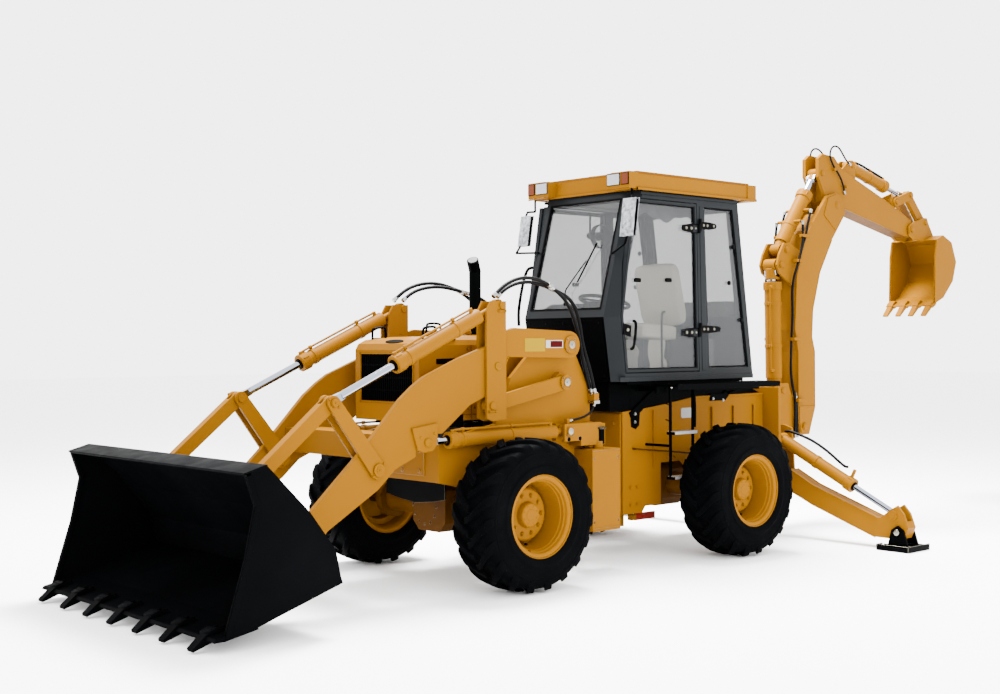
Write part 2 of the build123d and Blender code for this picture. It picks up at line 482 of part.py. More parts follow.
for y0, y1 in ((101.0, 125.0), (-125.0, -101.0)):
    hbs.append(plate(ear_pts, y0, y1) - drum(BP, y0 - 2, y1 + 2, 32 + PIN_GAP))
hbs.append(drum(E0, -135, 135, 26))
node("backhoe_bucket", join(*hbs))

gl = strip(G0, T0, 44, 97, 117, 44) - drum(G0, 90, 120, 26 + PIN_GAP)
gl = join(gl, drum(T0, 36, 124, 26))
node("guide_links", *both(gl))
tl = strip(T0, E0, 50, 40, 90, 50) - drum(T0, 30, 100, 26 + PIN_GAP) - drum(E0, 30, 100, 26 + PIN_GAP)
node("tipping_links", *both(tl))

bb, brd = cylinder(B0, B1, 0.0, 77, 36, 1020, 118, 140, 66, 60, 34.0, 70.0, 10.0)
node("boom_cylinder_barrel", bb)
node("boom_cylinder_rod", brd)
db, dr = cylinder(D0, D1, 0.0, 68, 32, 720, 90, 104, 56, 50, 32.0, 70.0, 135.0)
db = join(db, *both(drum((-2055, 2995), 45, 132, 15), drum((-1918, 2880), 45, 132, 15)))
node("dipper_cylinder_barrel", db)
node("dipper_cylinder_rod", dr)
cb, cr = cylinder(C0, T0, 0.0, 58, 23, 680, 75, 70, 42, 38, 24.0, 70.0, 222.0)
node("bucket_cylinder_barrel", cb)
node("bucket_cylinder_rod", cr)

# ------------------------------------------------------------------ stabilisers
def yz_rod(a, b, r):
    return rod((STAB_X, a[0], a[1]), (STAB_X, b[0], b[1]), r)


def xdrum(p, x0, x1, r):
    return Solid.make_cylinder(r, x1 - x0, Plane(origin=(x0, p[0], p[1]), z_dir=(1, 0, 0)))


SX = STAB_X
leg_pts = [(380, 600), (560, 600), (800, 478), (1440, 255), (1480, 256), (1575, 330), (1640, 370), (1700, 300), (1740, 190), (1700, 100), (1600, 90), (1430, 90), (800, 310), (540, 425), (380, 440)]
leg = cross(leg_pts, SX - 60, SX + 60)
leg = leg - cross([(1500, 180), (1500, 420), (1720, 420), (1720, 180)], SX - 36, SX + 36) - xdrum(S0, SX - 80, SX + 80, PIN_R + PIN_GAP)
leg = join(leg, *[xdrum(S2, a, b, PIN_R + 14) for a, b in ((SX - 72, SX - 59), (SX + 59, SX + 72))]) - xdrum(S3, SX - 80, SX + 80, PIN_R + PIN_GAP)
pad = join(box(SX - 165, SX + 165, 1510, 1800, 0, 32),
           *[cross([(1560, 20), (1600, 170), (1655, 205), (1710, 170), (1760, 20)], a, b) for a, b in ((SX - 88, SX - 66), (SX + 66, SX + 88))],
           xdrum(S3, SX - 96, SX + 96, PIN_R))


def flatcyl(a, b, r, rr, length, eye_w, ear_r, eye_r, back):
    def al(d, rev=False):
        q = along(b, a, d) if rev else along(a, b, d)
        return q
    tube = yz_rod(al(ear_r * 0.6), al(length), r)
    head = yz_rod(al(length - 60), al(length), r + 8)
    bore = yz_rod(al(ear_r + 20), al(length + 5), r * 0.62)
    k = al(length - 46)
    dy, dz = (b[0] - a[0]), (b[1] - a[1])
    n = math.hypot(dy, dz)
    port = yz_rod(k, (k[0] - dz / n * (r + 78), k[1] + dy / n * (r + 78)), 15)
    bar = join(tube, head, port, xdrum(a, SX - eye_w / 2, SX + eye_w / 2, ear_r)) - bore - xdrum(a, SX - eye_w, SX + eye_w, PIN_R + PIN_GAP)
    shaft = yz_rod(al(ear_r + 34 + back), al(eye_r * 0.7, True), rr)
    piston = yz_rod(al(ear_r + 34 + back), al(ear_r + 74 + back), r * 0.62 - 0.6)
    return bar, join(shaft, piston, xdrum(b, SX - 28, SX + 28, eye_r))


sb, sr = flatcyl(S1, S2, 54, 26, 835, 90, 50, 42, 365.0)
for nm, f in (("left", lambda s: s), ("right", lambda s: mirror(s, about=Plane.XZ))):
    node("stabiliser_leg_" + nm, f(leg))
    node("stabiliser_pad_" + nm, f(pad))
    node("stabiliser_barrel_" + nm, f(sb))
    node("stabiliser_rod_" + nm, f(sr))

# ------------------------------------------------------------------ free hoses
def hose(pts, d):
    """Round hose of diameter d: straight runs joined by tangent arcs."""
    v = [Vector(*k) for k in pts]
    runs = [(b - a).length for a, b in zip(v, v[1:])]
    radii, length = [], sum(runs)
    for a, b, c, r1, r2 in zip(v, v[1:], v[2:], runs, runs[1:]):
        turn = math.radians((b - a).get_angle(c - b))
        r = 0.45 * min(r1, r2) / math.tan(turn / 2)
        radii.append(r)
        length -= 2 * r * math.tan(turn / 2) - r * turn
    path = FilletPolyline(*v, radius=radii)
    circle = Face(Wire([Edge.make_circle(d / 2, Plane(origin=v[0], z_dir=(v[1] - v[0]).normalized()))]))
    tube = sweep(circle, path=path)
    print("hose", d, "length", round(length), "smallest radius", round(min(radii)), "volume ratio", round(tube.volume / (math.pi * d * d / 4 * length), 4))
    print("   radii", [round(r) for r in radii])
    return tube.solids()[0]


LOADER_D, LIFT_D, BOOM_D, DIPPER_D = 28.0, 18.0, 24.0, 18.0
# between the levers and the front frame, upper runs then lower runs
UPPER_1 = [(2320, 553, 2069), (2240, 554, 2132), (2110, 545, 2175), (1974, 530, 2186), (1850, 515, 2170), (1735, 500, 2143)]
UPPER_2 = [(2385, 587, 2068), (2300, 583, 2140), (2180, 577, 2194), (2050, 566, 2216), (1900, 553, 2205), (1770, 538, 2158)]
LOWER_1 = [(1731, 500, 2142), (1600, 486, 2110), (1490, 482, 2050), (1442, 490, 1950), (1427, 505, 1850), (1423, 520, 1740), (1400, 532, 1640), (1368, 541, 1540), (1343, 549, 1440), (1326, 556, 1349.5)]
LOWER_2 = [(1766.3, 537.5, 2156.2), (1655, 530, 2098), (1565, 524, 2010), (1506, 522, 1905), (1470, 528, 1800), (1452, 534, 1695), (1432, 538, 1590), (1402, 539, 1495), (1366, 532, 1420), (1340, 522, 1353)]
# from the bulkhead to the lift cylinder port block
LIFT_LOOP = [(1327, 558, 1278), (1352, 562, 1222), (1424, 570, 1180), (1530, 582, 1160), (1637, 590, 1148)]
# down the front of the boom
BOOM_A = [(-2055, 150, 2995), (-2006, 151, 2878), (-1978, 150, 2762), (-1916, 150, 2640), (-1852, 150, 2490), (-1790, 142, 2345), (-1778, 128, 2215), (-1802, 113, 2075), (-1803, 114, 1925), (-1800, 104, 1770), (-1821, 82, 1610), (-1836, 66, 1470), (-1842, 74, 1330), (-1846, 116, 1210), (-1847, 130, 1085), (-1848, 129, 955), (-1848, 127, 830)]
BOOM_B = [(-1918, 150, 2880), (-1917, 156, 2790), (-1907, 161, 2690), (-1866, 166, 2570), (-1806, 168, 2440), (-1750, 160, 2310), (-1752, 149, 2180), (-1768, 142, 2050), (-1766, 140, 1910), (-1765, 130, 1770), (-1785, 109, 1620), (-1799, 94, 1480), (-1806, 104, 1345), (-1810, 130, 1220), (-1812, 135, 1090), (-1813, 131, 960), (-1812, 128, 835)]
# over the tail of the dipper to the bucket cylinder
DIPPER_LOOP = [(-2671, 112, 3188), (-2640, 115, 3290), (-2560, 115, 3385), (-2470, 115, 3455), (-2410, 115, 3550), (-2452, 115, 3640), (-2560, 114, 3652), (-2655, 107, 3575), (-2735, 94, 3518), (-2815, 81, 3494)]
node("loader_hoses_lower", *both(hose(LOWER_1, LOADER_D), hose(LOWER_2, LOADER_D), hose(LIFT_LOOP, LIFT_D)))
node("loader_hoses_upper", *both(hose(UPPER_1, LOADER_D), hose(UPPER_2, LOADER_D)))
node("boom_hoses", *both(hose(BOOM_A, BOOM_D), hose(BOOM_B, BOOM_D)))
node("dipper_hoses", *both(hose(DIPPER_LOOP, DIPPER_D)))

print(len(NODES), "nodes")
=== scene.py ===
import math
import bpy
import bmesh
from mathutils import Vector, Matrix, noise


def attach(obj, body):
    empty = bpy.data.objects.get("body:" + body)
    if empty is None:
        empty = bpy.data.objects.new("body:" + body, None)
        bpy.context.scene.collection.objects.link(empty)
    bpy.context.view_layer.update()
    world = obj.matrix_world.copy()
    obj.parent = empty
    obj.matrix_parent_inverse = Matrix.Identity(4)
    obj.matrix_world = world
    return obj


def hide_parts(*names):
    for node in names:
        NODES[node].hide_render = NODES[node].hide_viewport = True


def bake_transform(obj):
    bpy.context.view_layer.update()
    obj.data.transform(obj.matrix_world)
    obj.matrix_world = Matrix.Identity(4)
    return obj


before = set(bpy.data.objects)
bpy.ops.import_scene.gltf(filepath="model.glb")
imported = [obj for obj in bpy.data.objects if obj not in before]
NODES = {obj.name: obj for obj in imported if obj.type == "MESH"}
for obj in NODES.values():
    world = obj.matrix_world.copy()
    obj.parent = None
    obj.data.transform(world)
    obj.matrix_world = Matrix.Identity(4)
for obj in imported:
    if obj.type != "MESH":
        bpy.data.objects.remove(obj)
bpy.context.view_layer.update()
SHIFT = 279.0                      # places below are in mm, x measured from the rear axle


def P(x, y, z):
    return Vector(((x - SHIFT) / 1000.0, y / 1000.0, z / 1000.0))


# ------------------------------------------------------------------ camera
cam_data = bpy.data.cameras.new("camera")
cam = bpy.data.objects.new("camera", cam_data)
bpy.context.scene.collection.objects.link(cam)
look = Vector((-0.66553, -0.74636, -0.00302)).normalized()
right = Vector((-0.74636, 0.66554, -0.0051))
right = (right - look * right.dot(look)).normalized()
up = right.cross(look).normalized()
m = Matrix((right, up, -look)).transposed().to_4x4()
m.translation = Vector((8.5231, 7.8509, 1.7367))
cam.matrix_world = m
cam_data.sensor_width = 36.0
cam_data.lens = 48.87
cam_data.clip_start = 0.1
cam_data.clip_end = 200.0
bpy.context.scene.camera = cam


# ------------------------------------------------------------------ materials
def new_material(name):
    mt = bpy.data.materials.new(name)
    mt.use_nodes = True
    nt = mt.node_tree
    b = nt.nodes["Principled BSDF"]
    return mt, nt, b


def surface(name, color, rough, metal=0.0, coat=0.0, vary=0.06, scale=3.0, bump=0.0, bump_scale=60.0, edge=0.004, spec=0.5, rough_vary=0.08, coat_rough=0.12):
    """Procedural finish: base colour drifts a little, roughness is uneven, edges are eased."""
    mt, nt, b = new_material(name)
    n, l = nt.nodes, nt.links
    tc = n.new("ShaderNodeTexCoord")
    ns = n.new("ShaderNodeTexNoise")
    ns.inputs["Scale"].default_value = scale
    ns.inputs["Detail"].default_value = 4.0
    l.new(tc.outputs["Object"], ns.inputs["Vector"])
    cr = n.new("ShaderNodeValToRGB")
    lo = [max(0.0, c * (1 - vary)) for c in color[:3]] + [1.0]
    hi = [min(1.0, c * (1 + vary)) for c in color[:3]] + [1.0]
    cr.color_ramp.elements[0].position, cr.color_ramp.elements[0].color = 0.3, lo
    cr.color_ramp.elements[1].position, cr.color_ramp.elements[1].color = 0.7, hi
    l.new(ns.outputs["Fac"], cr.inputs["Fac"])
    l.new(cr.outputs["Color"], b.inputs["Base Color"])
    mr = n.new("ShaderNodeMapRange")
    mr.inputs["To Min"].default_value = max(0.02, rough - rough_vary)
    mr.inputs["To Max"].default_value = min(1.0, rough + rough_vary)
    n2 = n.new("ShaderNodeTexNoise")
    n2.inputs["Scale"].default_value = scale * 5
    l.new(tc.outputs["Object"], n2.inputs["Vector"])
    l.new(n2.outputs["Fac"], mr.inputs["Value"])
    l.new(mr.outputs["Result"], b.inputs["Roughness"])
    b.inputs["Metallic"].default_value = metal
    b.inputs["Coat Weight"].default_value = coat
    b.inputs["Coat Roughness"].default_value = coat_rough
    b.inputs["Specular IOR Level"].default_value = spec
    normal = None
    if edge > 0:
        bv = n.new("ShaderNodeBevel")
        bv.samples = 4
        bv.inputs["Radius"].default_value = edge
        normal = bv.outputs["Normal"]
    if bump > 0:
        n3 = n.new("ShaderNodeTexNoise")
        n3.inputs["Scale"].default_value = bump_scale
        n3.inputs["Detail"].default_value = 3.0
        l.new(tc.outputs["Object"], n3.inputs["Vector"])
        bp = n.new("ShaderNodeBump")
        bp.inputs["Strength"].default_value = bump
        bp.inputs["Distance"].default_value = 0.002
        l.new(n3.outputs["Fac"], bp.inputs["Height"])
        if normal is not None:
            l.new(normal, bp.inputs["Normal"])
        normal = bp.outputs["Normal"]
    if normal is not None:
        l.new(normal, b.inputs["Normal"])
    return mt


YELLOW = surface("yellow_paint", (0.139, 0.0535, 0.0), 0.40, coat=0.0, spec=0.02, vary=0.05, scale=1.3, bump=0.12, bump_scale=220, edge=0.005)
YELLOW_IN = surface("yellow_paint_inside", (0.100, 0.0345, 0.0), 0.5, coat=0.0, spec=0.02, vary=0.12, scale=2.4, bump=0.15, bump_scale=160, edge=0.004)
# Darker copy of the yellow paint that stands for the deep shade under the machine: painted shade, used on the axles,
# the axle bolts and the underside of the dipper.
SHADED_YELLOW = surface("axle_paint", (0.052, 0.0185, 0.0), 0.5, coat=0.0, spec=0.02, vary=0.2, scale=4.0, bump=0.2, bump_scale=120, edge=0.004)
BLACK = surface("black_paint", (0.0004, 0.0005, 0.0006), 0.42, coat=0.0, spec=0.006, vary=0.25, scale=3.0, bump=0.12, bump_scale=150, edge=0.003)
CABPAINT = surface("cab_paint", (0.0034, 0.0044, 0.0052), 0.4, coat=0.0, spec=0.07, vary=0.12, scale=2.0, bump=0.08, bump_scale=240, edge=0.004)
BUCKET = surface("bucket_paint", (0.0009, 0.0010, 0.0012), 0.45, coat=0.0, spec=0.003, vary=0.35, scale=1.6, bump=0.35, bump_scale=26, edge=0.004, rough_vary=0.14)
CHROME = surface("chrome_rod", (0.23, 0.25, 0.30), 0.09, metal=1.0, vary=0.03, rough_vary=0.03, edge=0.0)
STEEL = surface("steel_pin", (0.19, 0.175, 0.14), 0.32, metal=1.0, vary=0.10, scale=14, bump=0.2, bump_scale=260, edge=0.002)
BRIGHT = surface("bright_zinc", (0.23, 0.23, 0.225), 0.26, metal=1.0, vary=0.06, scale=20, edge=0.001)
RUBBER = surface("tyre_rubber", (0.0007, 0.0008, 0.0010), 0.62, vary=0.28, scale=5.0, bump=0.5, bump_scale=70, edge=0.006, spec=0.005, rough_vary=0.12)
HOSE = surface("hose_rubber", (0.0010, 0.0010, 0.0011), 0.45, spec=0.04, vary=0.2, scale=30, bump=0.25, bump_scale=500, edge=0.0)
PLASTIC = surface("black_plastic", (0.0008, 0.0008, 0.0009), 0.52, spec=0.015, vary=0.15, scale=10, bump=0.35, bump_scale=500, edge=0.002)
IRON = surface("engine_iron", (0.012, 0.012, 0.012), 0.6, metal=0.3, vary=0.3, scale=6, bump=0.6, bump_scale=60, edge=0.004)
SEATFAB = surface("seat_fabric", (0.80, 0.76, 0.63), 0.85, vary=0.08, scale=7, bump=0.6, bump_scale=900, edge=0.0, spec=0.25)
GRIP = surface("tread_strip", (0.26, 0.27, 0.28), 0.42, metal=0.5, vary=0.15, scale=30, bump=0.5, bump_scale=300, edge=0.001)
RED = surface("red_paint", (0.12, 0.004, 0.001), 0.4, coat=0.0, spec=0.05, vary=0.08, edge=0.003)
GREYPAD = surface("interior_grey", (0.075, 0.075, 0.073), 0.7, vary=0.10, scale=6, bump=0.3, bump_scale=300, edge=0.003)
FILM = surface("wrapping_film", (0.15, 0.16, 0.17), 0.22, vary=0.75, scale=34, bump=1.0, bump_scale=55, edge=0.0, rough_vary=0.15)
HUNG = surface("hung_film", (0.060, 0.062, 0.066), 0.3, vary=0.95, scale=9, bump=1.0, bump_scale=40, edge=0.0, rough_vary=0.15)
LABEL_Y = surface("blank_label_yellow", (0.185, 0.112, 0.0), 0.5, vary=0.03, edge=0.0, spec=0.02)
LABEL_W = surface("blank_label_white", (0.26, 0.26, 0.25), 0.5, vary=0.03, edge=0.0, spec=0.05)
LABEL_R = surface("blank_label_dark_red", (0.030, 0.0015, 0.0015), 0.5, vary=0.05, edge=0.0, spec=0.02)
AMBER = surface("amber_lens", (0.075, 0.012, 0.0), 0.25, coat=0.05, spec=0.1, vary=0.1, scale=40, edge=0.001)
WHITEPANEL = surface("pale_plate", (0.14, 0.14, 0.13), 0.4, vary=0.04, edge=0.001)


def glass_material():
    mt, nt, b = new_material("cab_glass")
    b.inputs["Base Color"].default_value = (0.028, 0.030, 0.032, 1)
    b.inputs["Roughness"].default_value = 0.03
    b.inputs["Alpha"].default_value = 0.40
    b.inputs["IOR"].default_value = 1.45
    return mt


def lens_material():
    mt, nt, b = new_material("lamp_lens")
    n, l = nt.nodes, nt.links
    b.inputs["Base Color"].default_value = (0.22, 0.225, 0.24, 1)
    b.inputs["Metallic"].default_value = 0.0
    b.inputs["Roughness"].default_value = 0.10
    b.inputs["Coat Weight"].default_value = 0.25
    tc = n.new("ShaderNodeTexCoord")
    wv = n.new("ShaderNodeTexWave")
    wv.inputs["Scale"].default_value = 60
    bp = n.new("ShaderNodeBump")
    bp.inputs["Strength"].default_value = 0.6
    bp.inputs["Distance"].default_value = 0.002
    l.new(tc.outputs["Object"], wv.inputs["Vector"])
    l.new(wv.outputs["Fac"], bp.inputs["Height"])
    l.new(bp.outputs["Normal"], b.inputs["Normal"])
    return mt


GLASS = glass_material()
LENS = lens_material()

# The front and rear axles take the darker painted-shade yellow.
CAD_LOOK = {
    "rear_frame": YELLOW, "rear_axle": SHADED_YELLOW, "front_axle": SHADED_YELLOW, "front_frame": YELLOW, "cab_roof": YELLOW, "hood": YELLOW,
    "loader_arms": YELLOW, "loader_levers": YELLOW, "levelling_links": YELLOW, "tilt_barrels": YELLOW, "bellcranks": YELLOW,
    "bucket_links": YELLOW, "lift_barrels": YELLOW, "swing_frame": YELLOW, "boom": YELLOW, "dipper": YELLOW, "backhoe_bucket": YELLOW,
    "guide_links": YELLOW, "tipping_links": YELLOW, "boom_cylinder_barrel": YELLOW, "dipper_cylinder_barrel": YELLOW,
    "bucket_cylinder_barrel": YELLOW, "stabiliser_leg_left": YELLOW, "stabiliser_leg_right": YELLOW, "stabiliser_barrel_left": YELLOW,
    "stabiliser_barrel_right": YELLOW, "stabiliser_pad_left": BLACK, "stabiliser_pad_right": BLACK, "loader_bucket": BUCKET,
    "cab_frame": CABPAINT, "door_left": CABPAINT, "door_right": CABPAINT, "cab_glass": GLASS, "door_glass_left": GLASS,
    "door_glass_right": GLASS, "platforms_and_fittings": BLACK, "engine": IRON, "tilt_rods": CHROME, "lift_rods": CHROME,
    "boom_cylinder_rod": CHROME, "dipper_cylinder_rod": CHROME, "bucket_cylinder_rod": CHROME, "stabiliser_rod_left": CHROME,
    "stabiliser_rod_right": CHROME, "bellcrank_pivot_pins": YELLOW, "bellcrank_top_pins": YELLOW, "bucket_hinge_pins": YELLOW, "seat": SEATFAB,
}
for w in ("front_left", "front_right", "rear_left", "rear_right"):
    CAD_LOOK[w + "_tyre"], CAD_LOOK[w + "_rim"] = RUBBER, YELLOW
for name, ob in NODES.items():
    ob.data.materials.clear()
    ob.data.materials.append(CAD_LOOK.get(name, HOSE))


def paint_eye(name, a, z, r, axis="y"):
    """The forged eye of a rod is painted; the rod itself stays bright."""
    ob = NODES[name]
    ob.data.materials.append(YELLOW)
    pts = []
    for v in ob.data.vertices:
        w = ob.matrix_world @ v.co
        u = w.x * 1000 + SHIFT if axis == "y" else abs(w.y * 1000)
        pts.append(math.hypot(u - a, w.z * 1000 - z) <= r)
    for f in ob.data.polygons:
        if all(pts[i] for i in f.vertices):
            f.material_index = 1


paint_eye("boom_cylinder_rod", -1645, 2455, 84)
paint_eye("dipper_cylinder_rod", -2325, 3370, 70)
paint_eye("bucket_cylinder_rod", -3865, 3255, 56)
paint_eye("tilt_rods", 3790, 1355, 64)
paint_eye("lift_rods", 3020, 1060, 60)
paint_eye("stabiliser_rod_left", 1600, 285, 60, "x")
paint_eye("stabiliser_rod_right", 1600, 285, 60, "x")
ob = NODES["cab_frame"]
ob.data.materials.append(BLACK)
for f in ob.data.polygons:
    zs = [(ob.matrix_world @ ob.data.vertices[i].co).z for i in f.vertices]
    if max(zs) < 1.43 or (max(zs) < 1.98 and (ob.matrix_world.to_3x3() @ f.normal).x > 0.85):
        f.material_index = 1
# Painted shade: the dipper's faces that point downward take the darker painted-shade yellow.
ob = NODES["dipper"]
ob.data.materials.append(SHADED_YELLOW)
for f in ob.data.polygons:
    if (ob.matrix_world.to_3x3() @ f.normal).z < -0.6:
        f.material_index = 1


# ------------------------------------------------------------------ mesh building
class Build:
    """Collects closed shapes into one mesh. With both set, each shape is also mirrored across the centre plane."""

    def __init__(self, name):
        self.name, self.bm, self.mats = name, bmesh.new(), []

    def slot_of(self, mat):
        if mat not in self.mats:
            self.mats.append(mat)
        return self.mats.index(mat)

    def shape(self, verts, faces, mat, both=False):
        k = self.slot_of(mat)
        for mirror in ((False, True) if both else (False,)):
            vs = [self.bm.verts.new((v[0], -v[1], v[2]) if mirror else v) for v in verts]
            for f in faces:
                ids = list(f)
                if mirror:
                    ids.reverse()
                try:
                    self.bm.faces.new([vs[i] for i in ids]).material_index = k
                except ValueError:
                    pass

    def box(self, x0, x1, y0, y1, z0, z1, mat, both=False):
        v = [P(x, y, z) for x in (x0, x1) for y in (y0, y1) for z in (z0, z1)]
        self.shape(v, [(0, 1, 3, 2), (4, 6, 7, 5), (0, 4, 5, 1), (2, 3, 7, 6), (0, 2, 6, 4), (1, 5, 7, 3)], mat, both)

    def prism(self, a, b, mat, both=False):
        """Closed shape between two matching polygons of points."""
        n = len(a)
        area = sum((a[(i + 1) % n] - a[0]).cross(a[(i + 2) % n] - a[0]).dot(b[0] - a[0]) for i in range(n - 2))
        if area > 0:
            a, b = list(reversed(a)), list(reversed(b))
        faces = [tuple(range(n)), tuple(range(2 * n - 1, n - 1, -1))]
        faces += [(i, i + n, (i + 1) % n + n, (i + 1) % n) for i in range(n)]
        faces = [tuple(reversed(f)) for f in faces[:2]] + [tuple(reversed(f)) for f in faces[2:]]
        faces = [tuple(reversed(f)) for f in faces]
        self.shape(list(a) + list(b), faces, mat, both)

    def plate(self, pts, y0, y1, mat, both=False):
        self.prism([P(x, y0, z) for x, z in pts], [P(x, y1, z) for x, z in pts], mat, both)

    def cross(self, pts, x0, x1, mat, both=False):
        self.prism([P(x0, y, z) for y, z in pts], [P(x1, y, z) for y, z in pts], mat, both)

    def plan(self, pts, z0, z1, mat, both=False):
        self.prism([P(x, y, z0) for x, y in pts], [P(x, y, z1) for x, y in pts], mat, both)

    def cyl(self, a, b, r, mat, both=False, seg=24, r2=None, ease=0.0):
        """Round bar from a to b (mm), radius r to r2, end edges eased."""
        a, b = P(*a), P(*b)
        r, r2 = r / 1000.0, (r if r2 is None else r2) / 1000.0
        d = (b - a).normalized()
        u = d.orthogonal().normalized()
        w = d.cross(u)
        e = ease / 1000.0
        rows = [(a, r - e), (a + d * e, r), (b - d * e, r2), (b, r2 - e)] if e > 0 else [(a, r), (b, r2)]
        verts, faces = [], []
        for c, q in rows:
            verts += [c + (u * math.cos(t) + w * math.sin(t)) * q for t in [2 * math.pi * i / seg for i in range(seg)]]
        for k in range(len(rows) - 1):
            faces += [(k * seg + i, k * seg + (i + 1) % seg, (k + 1) * seg + (i + 1) % seg, (k + 1) * seg + i) for i in range(seg)]
        faces += [tuple(reversed(range(seg))), tuple(range((len(rows) - 1) * seg, len(rows) * seg))]
        self.shape(verts, faces, mat, both)

    def hexa(self, a, d, r, h, mat, both=False, washer=True):
        """Bolt head at a, along d, across-corners radius r and height h."""
        d = Vector(d).normalized()
        p = lambda t: tuple(Vector(a) + d * t)
        if washer:
            self.cyl(p(0), p(h * 0.22), r * 1.45, mat, both, seg=14)
        self.cyl(p(h * 0.2), p(h), r, mat, both, seg=6)

    def lathe(self, c, prof, mat, seg=72, both=False):
        """Closed ring about the Y axis at c=(x, y, z): profile of (y offset, radius), in order."""
        verts, n = [], len(prof)
        for i in range(seg):
            t = 2 * math.pi * i / seg
            verts += [P(c[0] + r * math.cos(t), c[1] + o, c[2] + r * math.sin(t)) for o, r in prof]
        area = sum(prof[i][0] * prof[(i + 1) % n][1] - prof[(i + 1) % n][0] * prof[i][1] for i in range(n))
        faces = []
        for i in range(seg):
            j = (i + 1) % seg
            for k in range(n):
                q = (k + 1) % n
                f = (i * n + k, i * n + q, j * n + q, j * n + k)
                faces.append(f if area < 0 else tuple(reversed(f)))
        self.shape(verts, faces, mat, both)

    def tube(self, pts, r, mat, both=False, seg=10, closed=False):
        """Round tube through the points (mm)."""
        p = [P(*k) for k in pts]
        r = r / 1000.0
        n = len(p)
        tang = []
        for i in range(n):
            if closed:
                tang.append((p[(i + 1) % n] - p[i - 1]).normalized())
            else:
                tang.append((p[min(i + 1, n - 1)] - p[max(i - 1, 0)]).normalized())
        u = tang[0].orthogonal().normalized()
        verts, faces = [], []
        for i in range(n):
            u = (u - tang[i] * u.dot(tang[i])).normalized()
            w = tang[i].cross(u)
            k = 1.0
            if 0 < i < n - 1:
                ang = (p[i] - p[i - 1]).angle(p[i + 1] - p[i], 0.0)
                k = 1.0 / max(0.6, math.cos(ang / 2))
            verts += [p[i] + (u * math.cos(t) + w * math.sin(t)) * r * (k if seg > 4 else 1.0) for t in [2 * math.pi * j / seg for j in range(seg)]]
        for i in range(n if closed else n - 1):
            a, b = i * seg, ((i + 1) % n) * seg
            faces += [(a + j, a + (j + 1) % seg, b + (j + 1) % seg, b + j) for j in range(seg)]
        if not closed:
            faces += [tuple(reversed(range(seg))), tuple(range((n - 1) * seg, n * seg))]
        self.shape(verts, faces, mat, both)

    def done(self, body, slot, angle=34.0, bevel=0.0):
        bmesh.ops.recalc_face_normals(self.bm, faces=self.bm.faces)
        if bevel > 0:
            es = [e for e in self.bm.edges if len(e.link_faces) == 2 and e.calc_face_angle(0) > math.radians(40)]
            bmesh.ops.bevel(self.bm, geom=es, offset=bevel / 1000.0, segments=1, affect="EDGES", profile=0.5, clamp_overlap=True)
        for f in self.bm.faces:
            f.smooth = True
        for e in self.bm.edges:
            if len(e.link_faces) == 2 and e.calc_face_angle(0) > math.radians(angle):
                e.smooth = False
        me = bpy.data.meshes.new(self.name)
        self.bm.to_mesh(me)
        self.bm.free()
        for mt in self.mats:
            me.materials.append(mt)
        ob = bpy.data.objects.new(self.name, me)
        bpy.context.scene.collection.objects.link(ob)
        if body:
            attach(ob, body)
        return ob


def curve_pts(pts, steps=5):
    """Smooth pass through control points, for rigid pipes and rails."""
    out = []
    n = len(pts)
    for i in range(n - 1):
        p0, p1, p2, p3 = [Vector(pts[max(0, min(n - 1, k))]) for k in (i - 1, i, i + 1, i + 2)]
        for s in range(steps):
            t = s / steps
            out.append(tuple(0.5 * ((2 * p1) + (p2 - p0) * t + (2 * p0 - 5 * p1 + 4 * p2 - p3) * t * t + (3 * p1 - p0 - 3 * p2 + p3) * t ** 3)))
    out.append(tuple(pts[-1]))
    return out


# ------------------------------------------------------------------ hoses
def nurbs_line(name, pts):
    cu = bpy.data.curves.new(name, "CURVE")
    cu.dimensions = "3D"
    cu.resolution_u = 12
    sp = cu.splines.new("NURBS")
    sp.points.add(len(pts) - 1)
    for q, p in zip(sp.points, pts):
        q.co = (*P(*p), 1.0)
    sp.order_u = 3
    sp.use_endpoint_u = True
    ob = bpy.data.objects.new(name, cu)
    bpy.context.scene.collection.objects.link(ob)
    bpy.context.view_layer.update()
    me = bpy.data.meshes.new_from_object(ob.evaluated_get(bpy.context.evaluated_depsgraph_get()))
    line = [v.co.copy() for v in me.vertices]
    bpy.data.objects.remove(ob)
    return line


def hose(name, pts, d, node, body, bend=None):
    """A free hose as a mesh tube along its NURBS line, with crimped ends that ride with it."""
    line = nurbs_line(name + "_line", pts)
    b = Build(name)
    mm = [(v.x * 1000 + SHIFT, v.y * 1000, v.z * 1000) for v in line]
    b.tube(mm, d / 2, HOSE, seg=16)
    ob = b.done(None if bend else body, "hose_rubber", angle=60)
    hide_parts(node)
    fit = Build(name + "_ends")
    for a, c in ((mm[0], mm[3]), (mm[-1], mm[-4])):
        u = (Vector(c) - Vector(a)).normalized()
        q = lambda t: tuple(Vector(a) + u * t)
        fit.cyl(q(2), q(34), d / 2 + 3.0, BRIGHT, seg=16, ease=1.5)
        fit.cyl(q(-2), q(13), d / 2 + 5.5, BRIGHT, seg=6)
    fo = fit.done(None if bend else body, "steel_pin")
    if bend:
        for o in (ob, fo):
            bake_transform(o)
    return mm


def flip(pts):
    return [(x, -y, z) for x, y, z in pts]


